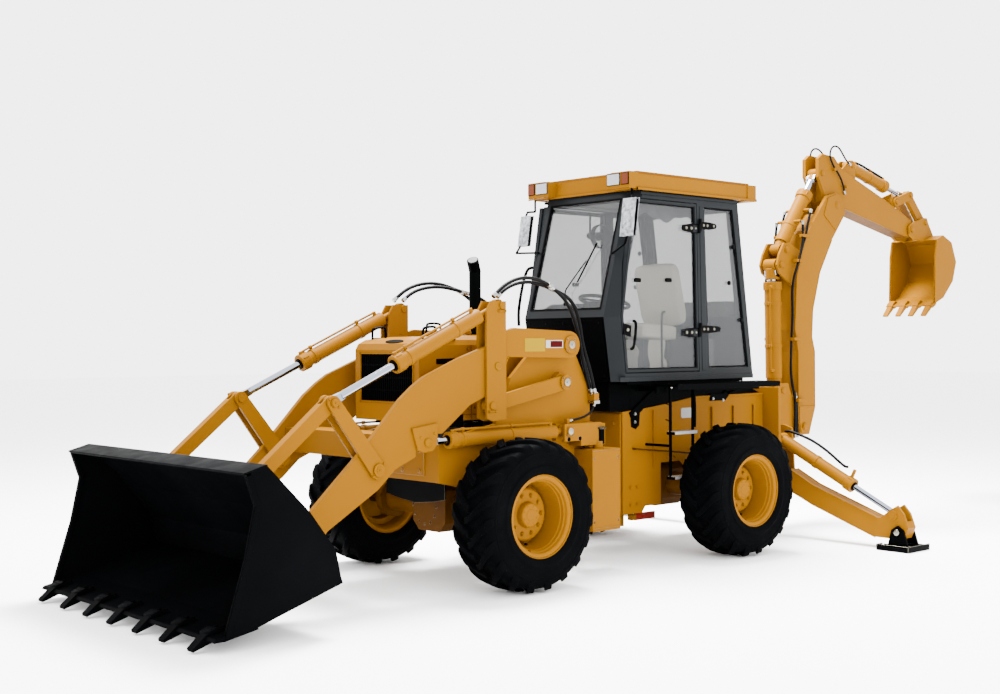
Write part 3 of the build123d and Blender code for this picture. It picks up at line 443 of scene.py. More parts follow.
UPPER_1 = [(2320, 553, 2069), (2240, 554, 2132), (2110, 545, 2175), (1974, 530, 2186), (1850, 515, 2170), (1735, 500, 2143)]
UPPER_2 = [(2385, 587, 2068), (2300, 583, 2140), (2180, 577, 2194), (2050, 566, 2216), (1900, 553, 2205), (1770, 538, 2158)]
LOWER_1 = [(1731, 500, 2142), (1600, 486, 2110), (1490, 482, 2050), (1442, 490, 1950), (1427, 505, 1850), (1423, 520, 1740), (1400, 532, 1640), (1368, 541, 1540), (1343, 549, 1440), (1326, 556, 1349.5)]
LOWER_2 = [(1766.3, 537.5, 2156.2), (1655, 530, 2098), (1565, 524, 2010), (1506, 522, 1905), (1470, 528, 1800), (1452, 534, 1695), (1432, 538, 1590), (1402, 539, 1495), (1366, 532, 1420), (1340, 522, 1353)]
LIFT_LOOP = [(1327, 558, 1278), (1352, 562, 1222), (1424, 570, 1180), (1530, 582, 1160), (1637, 590, 1148)]
BOOM_A = [(-2055, 150, 2995), (-2006, 151, 2878), (-1978, 150, 2762), (-1916, 150, 2640), (-1852, 150, 2490), (-1790, 142, 2345), (-1778, 128, 2215), (-1802, 113, 2075), (-1803, 114, 1925), (-1800, 104, 1770), (-1821, 82, 1610), (-1836, 66, 1470), (-1842, 74, 1330), (-1846, 116, 1210), (-1847, 130, 1085), (-1848, 129, 955), (-1848, 127, 830)]
BOOM_B = [(-1918, 150, 2880), (-1917, 156, 2790), (-1907, 161, 2690), (-1866, 166, 2570), (-1806, 168, 2440), (-1750, 160, 2310), (-1752, 149, 2180), (-1768, 142, 2050), (-1766, 140, 1910), (-1765, 130, 1770), (-1785, 109, 1620), (-1799, 94, 1480), (-1806, 104, 1345), (-1810, 130, 1220), (-1812, 135, 1090), (-1813, 131, 960), (-1812, 128, 835)]
DIPPER_LOOP = [(-2671, 112, 3188), (-2640, 115, 3290), (-2560, 115, 3385), (-2470, 115, 3455), (-2410, 115, 3550), (-2452, 115, 3640), (-2560, 114, 3652), (-2655, 107, 3575), (-2735, 94, 3518), (-2815, 81, 3494)]
for side, f in (("left", lambda p: p), ("right", flip)):
    for k, pts in (("1", UPPER_1), ("2", UPPER_2)):
        q = f(pts)
        hose("loader_hose_upper_%s_%s" % (k, side), q, 28.0, "loader_hoses_upper", "loader_levers_body",
             bend=("loader_arms_body", "loader_levers_body", q[-1], q[0]))
    for k, pts in (("1", LOWER_1), ("2", LOWER_2)):
        q = f(pts)
        hose("loader_hose_lower_%s_%s" % (k, side), q, 28.0, "loader_hoses_lower", "front_chassis",
             bend=("front_chassis", "loader_arms_body", (q[-1][0], q[-1][1], 1650), q[0]))
    hose("lift_hose_%s" % side, f(LIFT_LOOP), 18.0, "loader_hoses_lower", "front_chassis")
    for k, pts in (("a", BOOM_A), ("b", BOOM_B)):
        hose("boom_hose_%s_%s" % (k, side), f(pts), 24.0, "boom_hoses", "boom_body")
    hose("dipper_hose_%s" % side, f(DIPPER_LOOP), 18.0, "dipper_hoses", "dipper_body")


# ------------------------------------------------------------------ tyres and rims
WHEELS = [("front_left", 2365.0, 1), ("front_right", 2365.0, -1), ("rear_left", 0.0, 1), ("rear_right", 0.0, -1)]
LUGS = 19


def tyre(name, cx, s):
    b = Build(name + "_tyre_moulded")
    c = (cx, s * 876.0, 537.5)
    half = [(190, 288), (197, 300), (201, 318), (203.5, 330), (204.5, 345), (204.5, 352), (200, 357), (202, 385), (202.5, 412), (200.5, 436), (203, 440), (203, 446), (199, 450),
            (195, 468), (186, 484), (168, 496), (140, 503), (90, 507.5), (0, 509)]
    prof = half + [(-o, r) for o, r in reversed(half[:-1])]
    b.lathe(c, prof, RUBBER, seg=120)
    # lugs: offset from the tread centre, outer radius, base radius, half width
    rows = [(-16, 537.0, 506, 23), (20, 537.3, 507, 24), (60, 537.2, 506, 26), (100, 535.5, 504, 28), (135, 531, 500, 31), (160, 523, 493, 34), (178, 511, 484, 36), (190, 494, 470, 35), (199, 470, 452, 32)]
    for g in (1, -1):
        for k in range(LUGS):
            t0 = 2 * math.pi * (k + (0.0 if g > 0 else 0.5)) / LUGS
            verts = []
            for o, rt, rb, hw in rows:
                t = t0 + 0.34 * (max(o, 0) / 200.0) ** 1.12
                for r, w in ((rb, hw + 7.0), (rt, hw - 1.0), (rt, -(hw - 1.0)), (rb, -(hw + 7.0))):
                    a = t + w / 520.0
                    verts.append(P(c[0] + r * math.cos(a), c[1] + g * o, c[2] + r * math.sin(a)))
            faces = []
            for i in range(len(rows) - 1):
                for j in range(4):
                    q = (j + 1) % 4
                    faces.append((i * 4 + j, i * 4 + q, i * 4 + 4 + q, i * 4 + 4 + j))
            n = len(rows) * 4
            faces += [(3, 2, 1, 0), (n - 4, n - 3, n - 2, n - 1)]
            if g < 0:
                faces = [tuple(reversed(f)) for f in faces]
            b.shape(verts, faces, RUBBER)
    ob = b.done(name + "_wheel", "tyre_rubber", angle=28, bevel=3.0)
    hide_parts(name + "_tyre")


def rim(name, cx, s):
    b = Build(name + "_rim_turned")
    cy = s * 876.0
    prof = [(-186, 285), (-191, 300), (-191, 309), (-186, 312), (-181, 309), (-180, 262), (-170, 250), (-150, 238), (-76, 232), (-72, 190), (4, 178), (6, 57), (60, 57), (60, 84), (26, 92), (22, 172), (14, 184), (-52, 197),
            (-60, 214), (-50, 224), (20, 229), (118, 236), (124, 241), (146, 243), (152, 250), (172, 255), (179, 264), (180, 305), (183, 310), (187, 312), (191, 309), (192, 300), (190, 288), (184, 284)]
    b.lathe((cx, cy, 537.5), [(s * o, r) for o, r in prof], YELLOW, seg=112)
    cap = lambda o0, o1, r, mt, ease=3.0: b.cyl((cx, cy + s * o0, 537.5), (cx, cy + s * o1, 537.5), r, mt, seg=48, ease=ease)
    cap(40, 70, 84, YELLOW, 8.0)
    cap(68, 72, 40, YELLOW, 1.5)
    for i in range(8):
        t = 2 * math.pi * (i + 0.5) / 8
        b.hexa((cx + 64 * math.cos(t), cy + s * 69.5, 537.5 + 64 * math.sin(t)), (0, s, 0), 6.5, 3.2, YELLOW, washer=False)
    for i in range(10):
        t = 2 * math.pi * i / 10
        q = (cx + 138 * math.cos(t), cy + s * 23, 537.5 + 138 * math.sin(t))
        b.hexa(q, (0, s, 0), 12, 11, YELLOW)
        b.cyl((q[0], q[1] + s * 9, q[2]), (q[0], q[1] + s * 18, q[2]), 6, YELLOW, seg=12, ease=1.0)
    # locking ring split, valve and its guard
    t = -1.25
    u = lambda r, o: (cx + r * math.cos(t), cy + s * o, 537.5 + r * math.sin(t))
    b.tube(curve_pts([u(226, -8), u(208, 20), u(200, 52), u(203, 78)]), 5.5, BRIGHT, seg=10)
    b.cyl(u(203, 76), u(205, 96), 8, PLASTIC, seg=14, ease=1.0)
    t = -1.15
    b.cyl(u(249, 150), u(251, 178), 5, YELLOW_IN, seg=10)
    ob = b.done(name + "_wheel", "yellow_paint", angle=30)
    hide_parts(name + "_rim")


for nm, cx, s in WHEELS:
    tyre(nm, cx, s)
    rim(nm, cx, s)


# ------------------------------------------------------------------ padded seat
def pillow(name, c, half, turn, crown, seams, body, n=18, power=7.0, sink=10.0):
    """Closed stuffed form with sewn channels; c and half in mm, turn about Y in degrees."""
    bm = bmesh.new()
    bmesh.ops.create_cube(bm, size=2.0)
    bmesh.ops.subdivide_edges(bm, edges=bm.edges, cuts=n, use_grid_fill=True)
    R = Matrix.Rotation(math.radians(turn), 3, "Y")
    for v in bm.verts:
        x, y, z = v.co
        k = (abs(x) ** power + abs(y) ** power + abs(z) ** power) ** (-1 / power)
        x, y, z = x * k, y * k, z * k
        bulge = (1 - x * x) * (1 - y * y)
        q = Vector((x * half[0], y * half[1], z * half[2]))
        q.z += (crown * bulge if z > 0 else -crown * 0.25 * bulge)
        pinch = 1 - 0.02 * (abs(x) > 0.8) * (1 - z * z)
        q.x *= pinch
        q.y *= 1 - 0.03 * (1 - abs(z)) * (abs(y) > 0.9)
        if z > 0:
            for axis, at, w in seams:
                d = (q.x if axis == "x" else q.y) - at
                q.z -= sink * math.exp(-(d / w) ** 2) * min(1.0, 2.5 * (z - 0.2))
        # piping round the side
        q += Vector((x, y, 0)).normalized() * 5.0 * math.exp(-((z * half[2]) / 7.0) ** 2) if abs(z) < 0.99 and max(abs(x), abs(y)) > 0.9 else Vector((0, 0, 0))
        q = q + noise.noise_vector(Vector((q.x, q.y, q.z)) * 0.012) * 2.5
        v.co = P(*(Vector(c) + R @ q))
    bmesh.ops.recalc_face_normals(bm, faces=bm.faces)
    for f in bm.faces:
        f.smooth = True
    me = bpy.data.meshes.new(name)
    bm.to_mesh(me)
    bm.free()
    me.materials.append(SEATFAB)
    ob = bpy.data.objects.new(name, me)
    bpy.context.scene.collection.objects.link(ob)
    sd = ob.modifiers.new("sub", "SUBSURF")
    sd.levels = sd.render_levels = 1
    bpy.context.view_layer.update()
    ev = ob.evaluated_get(bpy.context.evaluated_depsgraph_get())
    fine = bpy.data.meshes.new_from_object(ev)
    ob.modifiers.clear()
    ob.data = fine
    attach(ob, body)
    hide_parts("seat")
    return ob


pillow("seat_cushion", (185, 0, 1822), (232, 238, 62), -3, 16, [("y", -88, 9), ("y", 88, 9), ("x", 60, 9), ("x", -60, 9)], "rear_chassis")
pillow("seat_back", (-60, 0, 2145), (272, 226, 58), -76, 14, [("y", -92, 9), ("y", 92, 9), ("x", -90, 9), ("x", 30, 9)], "rear_chassis")


# ------------------------------------------------------------------ cab: pillars, skirt, panels
def at_z(z):
    secs = [(1425.0, -648.0, 1040.0), (1936.0, -578.0, 1117.0), (2945.0, -440.0, 837.0)]
    for (z0, r0, f0), (z1, r1, f1) in zip(secs, secs[1:]):
        if z <= z1:
            t = (z - z0) / (z1 - z0)
            return r0 + (r1 - r0) * t, f0 + (f1 - f0) * t
    return secs[-1][1:]


def frame_strip(b, pts, w, y0, y1, mat, both=False):
    """Closed flat frame following an x-z outline, w wide to the inside."""
    n = len(pts)
    cx, cz = sum(p[0] for p in pts) / n, sum(p[1] for p in pts) / n
    inner = []
    for i in range(n):
        p, a, c = Vector(pts[i]), Vector(pts[i - 1]), Vector(pts[(i + 1) % n])
        d1, d2 = (a - p).normalized(), (c - p).normalized()
        bis = (d1 + d2).normalized()
        if bis.dot(Vector((cx, cz)) - p) < 0:
            bis = -bis
        s = max(0.3, math.sin(d1.angle(d2) / 2))
        inner.append(p + bis * w / s)
    for i in range(n):
        j = (i + 1) % n
        q = [pts[i], pts[j], tuple(inner[j]), tuple(inner[i])]
        b.plate(q, y0, y1, mat, both)


DOOR_OUT = [(868, 2885), (1018, 1945), (960, 1490), (62, 1490), (92, 2885)]
QUARTER = [(0, 2860), (-375, 2860), (-585, 1520), (-60, 1520)]


def inset(pts, w):
    n = len(pts)
    cx, cz = sum(p[0] for p in pts) / n, sum(p[1] for p in pts) / n
    out = []
    for i in range(n):
        p, a, c = Vector(pts[i]), Vector(pts[i - 1]), Vector(pts[(i + 1) % n])
        d1, d2 = (a - p).normalized(), (c - p).normalized()
        bis = (d1 + d2).normalized()
        if bis.dot(Vector((cx, cz)) - p) < 0:
            bis = -bis
        out.append(tuple(p + bis * w / max(0.3, math.sin(d1.angle(d2) / 2))))
    return out


cab = Build("cab_trim")
# rubber bead round the rear quarter window and the screens
frame_strip(cab, inset(QUARTER, 2), 13, 523, 531, PLASTIC, both=True)
for z0, z1, hw, which, s in ((2000, 2885, 405, 1, 1), (1960, 2860, 440, 0, -1)):
    def edge(z, off):
        return at_z(z)[which] + s * off
    k = 3
    for y0, y1 in ((-hw - 4, -hw + 12), (hw - 12, hw + 4)):
        cab.prism([P(edge(z0, -8), y0, z0), P(edge(z0, k), y0, z0), P(edge(z1, k), y0, z1), P(edge(z1, -8), y0, z1)],
                  [P(edge(z0, -8), y1, z0), P(edge(z0, k), y1, z0), P(edge(z1, k), y1, z1), P(edge(z1, -8), y1, z1)], PLASTIC)
    for za, zb in ((z0 - 4, z0 + 12), (z1 - 12, z1 + 4)):
        cab.prism([P(edge(za, -8), -hw, za), P(edge(za, k), -hw, za), P(edge(zb, k), -hw, zb), P(edge(zb, -8), -hw, zb)],
                  [P(edge(za, -8), hw, za), P(edge(za, k), hw, za), P(edge(zb, k), hw, zb), P(edge(zb, -8), hw, zb)], PLASTIC)
# folded panel on the lower front, with a row of screws
f = lambda z, off: at_z(z)[1] + off
cab.prism([P(f(1450, 1), -430, 1450), P(f(1450, 6), -430, 1450), P(f(1915, 6), -430, 1915), P(f(1915, 1), -430, 1915)],
          [P(f(1450, 1), 430, 1450), P(f(1450, 6), 430, 1450), P(f(1915, 6), 430, 1915), P(f(1915, 1), 430, 1915)], BLACK)
for y in (-400, -200, 0, 200, 400):
    for z in (1475, 1890):
        cab.hexa((f(z, 5), y, z), (1, 0, 0.0), 7, 6, PLASTIC)
# sill, drip rail and hinge post cover
cab.box(-640, 1035, 541, 549, 1425, 1462, CABPAINT)
cab.box(-640, 860, -549, -541, 1425, 1462, CABPAINT)
cab.plate([(-440, 2915), (790, 2915), (790, 2935), (-440, 2935)], 540, 556, CABPAINT, both=True)
cab.plate([(2, 2860), (58, 2860), (28, 1500), (-28, 1500)], 539, 543, CABPAINT, both=True)
# quarter-window strap hinges and latch, hinged at the front edge
for z in (1843, 2706):
    cab.plate([(46, z + 30), (46, z - 30), (-60, z - 34), (-150 if z > 2000 else -195, z - 20), (-160 if z > 2000 else -207, z), (-150 if z > 2000 else -195, z + 18), (-60, z + 30)], 541, 547, PLASTIC, both=True)
    cab.cyl((60, 553, z - 52), (60, 553, z + 52), 12, PLASTIC, both=True, seg=16, ease=2)
    for dx in (10, -38, -120):
        cab.hexa((dx, 546, z), (0, 1, 0), 8, 7, STEEL, both=True)
for x, z in ((-330, 2236), (-388, 2544), (-500, 1923)):
    cab.cyl((x, 531, z), (x, 545, z), 20, PLASTIC, both=True, seg=18, ease=2)
# diagonal stays from the platform to the rear frame, with their brackets
for bolts, bar in ((((654, 1154), (655, 1089)), [(330, 1392), (356, 1392), (716, 1164), (700, 1126), (640, 1126), (318, 1380)]),
                   (((-333, 1248), (-467, 1232)), [(-640, 1392), (-620, 1392), (-470, 1288), (-300, 1290), (-300, 1230), (-500, 1230), (-648, 1372)])):
    cab.plate(bar, 344, 358, BLACK, both=True)
    for x, z in bolts:
        cab.hexa((x, 357, z), (0, 1, 0), 9, 8, BRIGHT, both=True)
cab.plate([(590, 1172), (700, 1172), (690, 1050), (640, 1030), (600, 1060)], 344, 352, BLACK, both=True)
# skirt between the cab floor and the frame
cab.plate([(940, 1424), (936, 1181), (702, 1176), (560, 1192), (-560, 1278), (-1000, 1282), (-660, 1400), (-640, 1424)], 330, 342, BLACK)
cab.plate([(840, 1424), (836, 1181), (702, 1176), (560, 1192), (-560, 1278), (-1000, 1282), (-660, 1400), (-640, 1424)], -342, -330, BLACK)
cab.box(900, 936, -230, 330, 1181, 1424, BLACK)
# platform lips, ribs and supports
cab.box(-680, 640, 796, 801, 1358, 1401, BLACK, both=True)
cab.box(-684, -679, 560, 800, 1358, 1401, BLACK, both=True)
for x in range(-640, 620, 42):
    cab.box(x, x + 12, 585, 780, 1400, 1404, BLACK, both=True)
cab.tube(curve_pts([(-560, 560, 1372), (-560, 450, 1340), (-540, 352, 1290)]), 11, BLACK, both=True)
# wiper on the screen
wx = lambda z, off=10: at_z(z)[1] + off
cab.cyl((wx(2050, 0), 12, 2050), (wx(2050, 26), 12, 2050), 16, PLASTIC, seg=18, ease=2)
cab.tube([(wx(2050, 22), 12, 2050), (wx(2160, 22), -12, 2160), (wx(2290, 20), 80, 2290), (wx(2395, 16), 158, 2395)], 5, PLASTIC, seg=8)
cab.prism([P(wx(2255, 3), 78, 2225), P(wx(2255, 12), 78, 2225), P(wx(2255, 12), 90, 2222), P(wx(2255, 3), 90, 2222)],
          [P(wx(2520, 3), 232, 2540), P(wx(2520, 12), 232, 2540), P(wx(2520, 12), 244, 2537), P(wx(2520, 3), 244, 2537)], PLASTIC)
# roof rain edge, sun visor ribs and lamp housings
cab.box(-648, 868, -590, -580, 2942, 2962, YELLOW)
cab.box(-648, 868, 580, 590, 2942, 2962, YELLOW)
cab.box(-650, -640, -590, 590, 2942, 2962, YELLOW)
cab.box(860, 868, -590, 590, 2942, 2962, YELLOW)
for s in (1, -1):
    lo_, hi_ = sorted((s * 474, s * 588))
    cab.box(-640, -524, lo_, hi_, 2940, 3078, YELLOW)
for y in (-300, 0, 300):
    cab.box(-560, 780, y - 30, y + 30, 3098, 3106, YELLOW)
for s in (1, -1):
    g = lambda a: s * a
    lo_, hi_ = sorted((g(345), g(582)))
    cab.box(948, 953, lo_, hi_, 2938, 2948, YELLOW)
    for a, b2, mt in ((350, 478, LENS), (502, 574, AMBER)):
        a, b2 = sorted((g(a), g(b2)))
        cab.cross([(a, 2984), (b2, 2984), (b2, 3068), (a, 3068)], 953, 962, mt)
        for q in (a - 5, b2 + 1):
            cab.box(950, 959, q, q + 4, 2979, 3073, PLASTIC)
        for z in (2979, 3069):
            cab.box(950, 959, a - 5, b2 + 5, z, z + 4, PLASTIC)
cab.box(850, 953, 336, 380, 2951, 3080, YELLOW, both=True)
# handrails
rail = [(1088, -560, 1880), (1070, -580, 2013), (1022, -584, 2216), (975, -584, 2336), (932, -580, 2371), (884, -545, 2373)]
cab.tube(curve_pts(rail, 4), 13, PLASTIC, seg=12)
ob = cab.done("rear_chassis", "cab_paint", bevel=1.2)

# ------------------------------------------------------------------ doors
for side, s in (("left", 1), ("right", -1)):
    d = Build("door_trim_" + side)
    Y = lambda y: s * y
    o2 = inset(DOOR_OUT, 33)
    y0, y1 = sorted((Y(524), Y(533)))
    frame_strip(d, inset(DOOR_OUT, 30), 12, y0, y1, PLASTIC)
    y0, y1 = sorted((Y(538), Y(542)))
    frame_strip(d, inset(DOOR_OUT, 9), 20, y0, y1, CABPAINT)
    for z in (1815, 2675):
        a, b2 = sorted((Y(542), Y(548)))
        top = 290 if z > 2000 else 262
        d.plate([(90, z + 36), (90, z - 36), (150, z - 42), (top - 10, z - 24), (top, z - 2), (top - 10, z + 22), (150, z + 40)], a, b2, PLASTIC)
        for x in (118, 168, 232):
            d.hexa((x, Y(547), z), (0, s, 0), 9, 8, STEEL)
        d.cyl((80, Y(556), z - 38), (80, Y(556), z + 38), 15, PLASTIC, seg=18, ease=2)
    for x, z in ((813, 2231), (442, 2241)):
        if x < 900:
            a, b2 = sorted((Y(523), Y(543)))
            d.plate([(x - 34, z + 14), (x - 34, z - 16), (x + 30, z - 18), (x + 34, z + 2), (x + 26, z + 16)], a, b2, PLASTIC)
    # pull handle and lock
    d.tube(curve_pts([(868, Y(538), 1905), (868, Y(566), 1888), (880, Y(570), 1790), (896, Y(566), 1700), (898, Y(538), 1682)], 5), 11, PLASTIC, seg=12)
    a, b2 = sorted((Y(538), Y(552)))
    d.plate([(905, 1868), (985, 1885), (992, 1800), (912, 1780)], a, b2, PLASTIC)
    d.cyl((950, Y(550), 1835), (950, Y(562), 1835), 14, STEEL, seg=20, ease=2)
    # inner pull bar
    d.tube(curve_pts([(470, Y(517), 1520), (470, Y(488), 1540), (470, Y(484), 1780), (470, Y(488), 1960), (470, Y(517), 1980)], 4), 9, PLASTIC, seg=10)
    d.done("door_%s_body" % side, "cab_paint", bevel=1.0)

# ------------------------------------------------------------------ inside the cab
c = Build("cab_inside")
c.box(-540, 900, -470, 470, 1431, 1438, PLASTIC)                     # mat
for x in range(-500, 880, 60):
    c.box(x, x + 24, -450, 450, 1438, 1442, PLASTIC)
c.plate([(-560, 1960), (-440, 1960), (-400, 2050), (-400, 2085), (-560, 2085)], -430, 430, GREYPAD)
c.box(-340, -180, -360, 360, 1440, 1760, GREYPAD)                    # seat base and side consoles
c.plate([(40, 1690), (420, 1690), (440, 1740), (420, 1790), (380, 1800), (40, 1800)], -330, -262, GREYPAD)
for x in (160, 240, 320):
    c.tube(curve_pts([(x, -300, 1798), (x + 14, -300, 1860), (x + 8, -300, 1915)], 3), 6, STEEL, seg=8)
    c.lathe((x + 8, -300, 1930), [(-16, 4), (-12, 14), (0, 18), (12, 14), (16, 4)], PLASTIC, seg=18)
# pale wrap left round the seat stand, and a creased sheet hung under the roof
verts, faces = [], []
for i in range(41):
    t = 2 * math.pi * i / 40
    cx, cy = math.cos(t), math.sin(t)
    k_ = 1.0 / max(abs(cx), abs(cy)) ** 0.8
    for j in range(7):
        z = 1446 + j * 52
        w_ = 1 + 0.03 * noise.noise(Vector((cx * 3, cy * 3, j * 0.7)))
        verts.append(P(190 + 176 * cx * k_ * w_, 186 * cy * k_ * w_, z))
for v in list(verts):
    verts.append(Vector((P(190, 0, 0).x + (v.x - P(190, 0, 0).x) * 0.985, v.y * 0.985, v.z)))
N = 41 * 7
for i in range(40):
    for j in range(6):
        a = i * 7 + j
        faces += [(a, a + 7, a + 8, a + 1), (N + a, N + a + 1, N + a + 8, N + a + 7)]
    a = i * 7
    faces += [(a, N + a, N + a + 7, a + 7), (a + 6, a + 13, N + a + 13, N + a + 6)]
c.shape(verts, faces, SEATFAB)
verts, faces = [], []
for i in range(34):
    t = i / 33
    x = 24 + 660 * t
    bot = 2750 + 26 * math.sin(t * 9.0) + 10 * math.sin(t * 23.0)
    for j in range(6):
        u2 = j / 5
        y = 430 + 12 * noise.noise(Vector((t * 9, u2 * 3, 2.0)))
        verts.append(P(x, y, bot + (2896 - bot) * u2))
verts += [v + Vector((0, 0.003, 0)) for v in verts]
N = 34 * 6
for i in range(33):
    for j in range(5):
        a = i * 6 + j
        faces += [(a, a + 6, a + 7, a + 1), (N + a, N + a + 1, N + a + 7, N + a + 6)]
    a = i * 6
    faces += [(a, N + a, N + a + 6, a + 6), (a + 5, a + 11, N + a + 11, N + a + 5)]
for j in range(5):
    faces += [(j, j + 1, N + j + 1, N + j), (33 * 6 + j, N + 33 * 6 + j, N + 33 * 6 + j + 1, 33 * 6 + j + 1)]
c.shape(verts, faces, HUNG)
c.prism([P(860, -360, 1960), P(905, -360, 2055), P(1000, -360, 2010), P(1020, -360, 1960)], [P(860, 360, 1960), P(905, 360, 2055), P(1000, 360, 2010), P(1020, 360, 1960)], PLASTIC)
for y in (-150, -50, 50, 150):
    c.cyl((876, y, 2012), (868, y, 2016), 32, LABEL_W, seg=24, ease=1)
c.box(820, 900, -210, -150, 1438, 1500, PLASTIC, both=True)
c.box(70, 930, 470, 500, 1438, 1500, PLASTIC, both=True)              # door thresholds
c.cyl((800, 0, 2640), (800, 0, 2800), 9, PLASTIC, seg=10)            # fan
c.lathe((760, 76, 2606), [(-26, 92), (-20, 98), (20, 98), (26, 92), (20, 90), (-20, 90)], PLASTIC, seg=30)
for k in range(9):
    c.lathe((760, 76, 2606), [(-24, 10 + k * 9.5), (-22, 12.5 + k * 9.5), (-20, 10 + k * 9.5)], PLASTIC, seg=26)
c.cyl((760, 40, 2606), (760, 110, 2606), 26, PLASTIC, seg=20, ease=3)
for y in (-410, 410):                                                  # roof lining pads
    c.box(-380, 780, y - 60, y + 60, 2890, 2912, GREYPAD)
c.box(-380, 780, -350, 350, 2905, 2914, GREYPAD)
# steering wheel rim grip, spokes, boss
wdir = Vector((-160, 0, 620)).normalized()
wc = Vector((640, 0, 2050)) + wdir * 22
u_, v_ = wdir.orthogonal().normalized(), None
v_ = wdir.cross(u_)
ring_pts = [tuple(wc + (u_ * math.cos(t) + v_ * math.sin(t)) * 205) for t in [2 * math.pi * i / 48 for i in range(48)]]
c.tube(ring_pts, 15.5, PLASTIC, seg=14, closed=True)
for k in range(3):
    t = 2 * math.pi * k / 3 + 0.5
    e = wc + (u_ * math.cos(t) + v_ * math.sin(t)) * 200
    c.tube([tuple(wc), tuple(e)], 10, PLASTIC, seg=8)
c.cyl(tuple(wc - wdir * 24), tuple(wc + wdir * 22), 46, PLASTIC, seg=28, ease=6)
c.cyl((790, 0, 1490), (655, 0, 2010), 52, PLASTIC, seg=24)
c.done("rear_chassis", "black_plastic", bevel=0.8)

# ------------------------------------------------------------------ mirrors wrapped in film
mr = Build("mirror_wraps")
for quad, y0, y1 in (([(1045, 2850), (1087, 2850), (1130, 2554), (1088, 2554)], 640, 776), ([(863, 2820), (901, 2820), (945, 2558), (907, 2558)], -730, -607)):
    n1, n2 = 11, 7
    A0, A1, B1, B0 = [Vector((x, 0, z)) for x, z in quad]
    for face in (0, 1):
        P0v, P1v = (A0, B0) if face == 0 else (A1, B1)
        verts, faces = [], []
        for i in range(n1):
            for j in range(n2):
                t, s2 = i / (n1 - 1), j / (n2 - 1)
                q = P0v.lerp(P1v, t)
                bul = 9 * math.sin(math.pi * t) * math.sin(math.pi * s2) + 5 * noise.noise(Vector((t * 4, s2 * 3, face * 7.3)))
                x = q.x + (-bul if face == 0 else bul)
                y = y0 + (y1 - y0) * s2
                verts.append(P(x, y, q.z))
        back = [v - Vector((0.004 if face else -0.004, 0, 0)) for v in verts]
        N = len(verts)
        for i in range(n1 - 1):
            for j in range(n2 - 1):
                a = i * n2 + j
                faces += [(a, a + 1, a + n2 + 1, a + n2), (N + a, N + a + n2, N + a + n2 + 1, N + a + 1)]
        for i in range(n1 - 1):
            faces += [(i * n2, (i + 1) * n2, N + (i + 1) * n2, N + i * n2), (i * n2 + n2 - 1, N + i * n2 + n2 - 1, N + (i + 1) * n2 + n2 - 1, (i + 1) * n2 + n2 - 1)]
        for j in range(n2 - 1):
            a = (n1 - 1) * n2 + j
            faces += [(j, N + j, N + j + 1, j + 1), (a, a + 1, N + a + 1, N + a)]
        mr.shape(verts + back, faces, FILM)
mr.done("rear_chassis", "black_plastic", angle=60)


# ------------------------------------------------------------------ hood, exhaust, front frame
h = Build("hood_trim")
h.cyl((1925, -150, 1800), (1925, -150, 2296), 46, BLACK, seg=36)
h.cyl((1925, -150, 1803), (1925, -150, 1826), 66, BLACK, seg=36, ease=3)
h.cyl((1925, -150, 1960), (1925, -150, 1978), 50, BRIGHT, seg=32, ease=2)
h.cyl((1917, -156, 2286), (1978, -116, 2377), 46, BLACK, seg=36)
h.cyl((1974.5, -118, 2374), (1978.5, -115.5, 2380), 38, IRON, seg=30)
# grille: dark backing, vertical bars and a folded surround
h.box(2886, 2890, -308, 308, 1322, 1658, PLASTIC)
for i in range(25):
    y = -300 + i * 25
    h.box(2890, 2899, y - 4, y + 4, 1322, 1658, BLACK)
for z in (1400, 1490, 1580):
    h.box(2890, 2897, -308, 308, z - 5, z + 5, BLACK)
for y0, y1 in ((-322, -309), (309, 322)):
    h.box(2898, 2905, y0, y1, 1308, 1672, YELLOW)
h.box(2898, 2905, -322, 322, 1660, 1672, YELLOW)
h.box(2898, 2905, -322, 322, 1308, 1320, YELLOW)
# panel joints, side slots and fixings
for x in (1700, 2420):
    h.box(x - 3, x + 3, 379, 382, 1185, 1722, YELLOW_IN, both=True)
h.box(1400, 2890, 379, 382, 1218, 1224, YELLOW_IN, both=True)
for x0, x1, za, zb in ((2507, 2747, 1582, 1630), (2500, 2714, 1135, 1224)):
    h.plate([(x0, za), (x1, za + 6), (x1, zb - 4), (x0, zb)], 379, 383, BLACK, both=True)
    for q in range(1, 5):
        z = za + (zb - za) * q / 5
        h.plate([(x0 + 6, z - 2), (x1 - 6, z), (x1 - 6, z + 3), (x0 + 6, z + 1)], 382, 386, PLASTIC, both=True)
for x, z in ((2760, 1695), (2760, 1270), (2450, 1695), (2450, 1270), (2380, 1270), (1740, 1700), (1740, 1270), (1440, 1700)):
    h.hexa((x, 380, z), (0, 1, 0), 9, 8, YELLOW, both=True)
# front corner vents
for z in (1776, 1758):
    h.plate([(2560, z), (2740, z - 6), (2740, z + 3), (2560, z + 9)], 352, 374, BLACK, both=True)
pts = []
for k in range(24):
    t = 2 * math.pi * k / 24
    pts.append((30 + 104 * math.cos(t), 26 * math.sin(t)))
h.prism([P(2846.5 + w_ * 0.885, y, 1747.5 - w_ * 0.466) for y, w_ in pts], [P(2849.8 + w_ * 0.885, y, 1753.8 - w_ * 0.466) for y, w_ in pts], BLACK)
# lifting and opening handles on the top
for x0, x1 in ((2150, 2290), (2680, 2802)):
    top = 1803 if x1 < 2600 else 1770
    for y in (-300, 300):
        h.tube(curve_pts([(x0, y, top - 6), (x0 + 2, y, top + 62), (x0 + 22, y, top + 84), (x1 - 22, y, top + 84 - (0 if x1 < 2600 else 6)), (x1 - 2, y, top + 56), (x1, y, top - 12)], 4), 9, BLACK, seg=10)
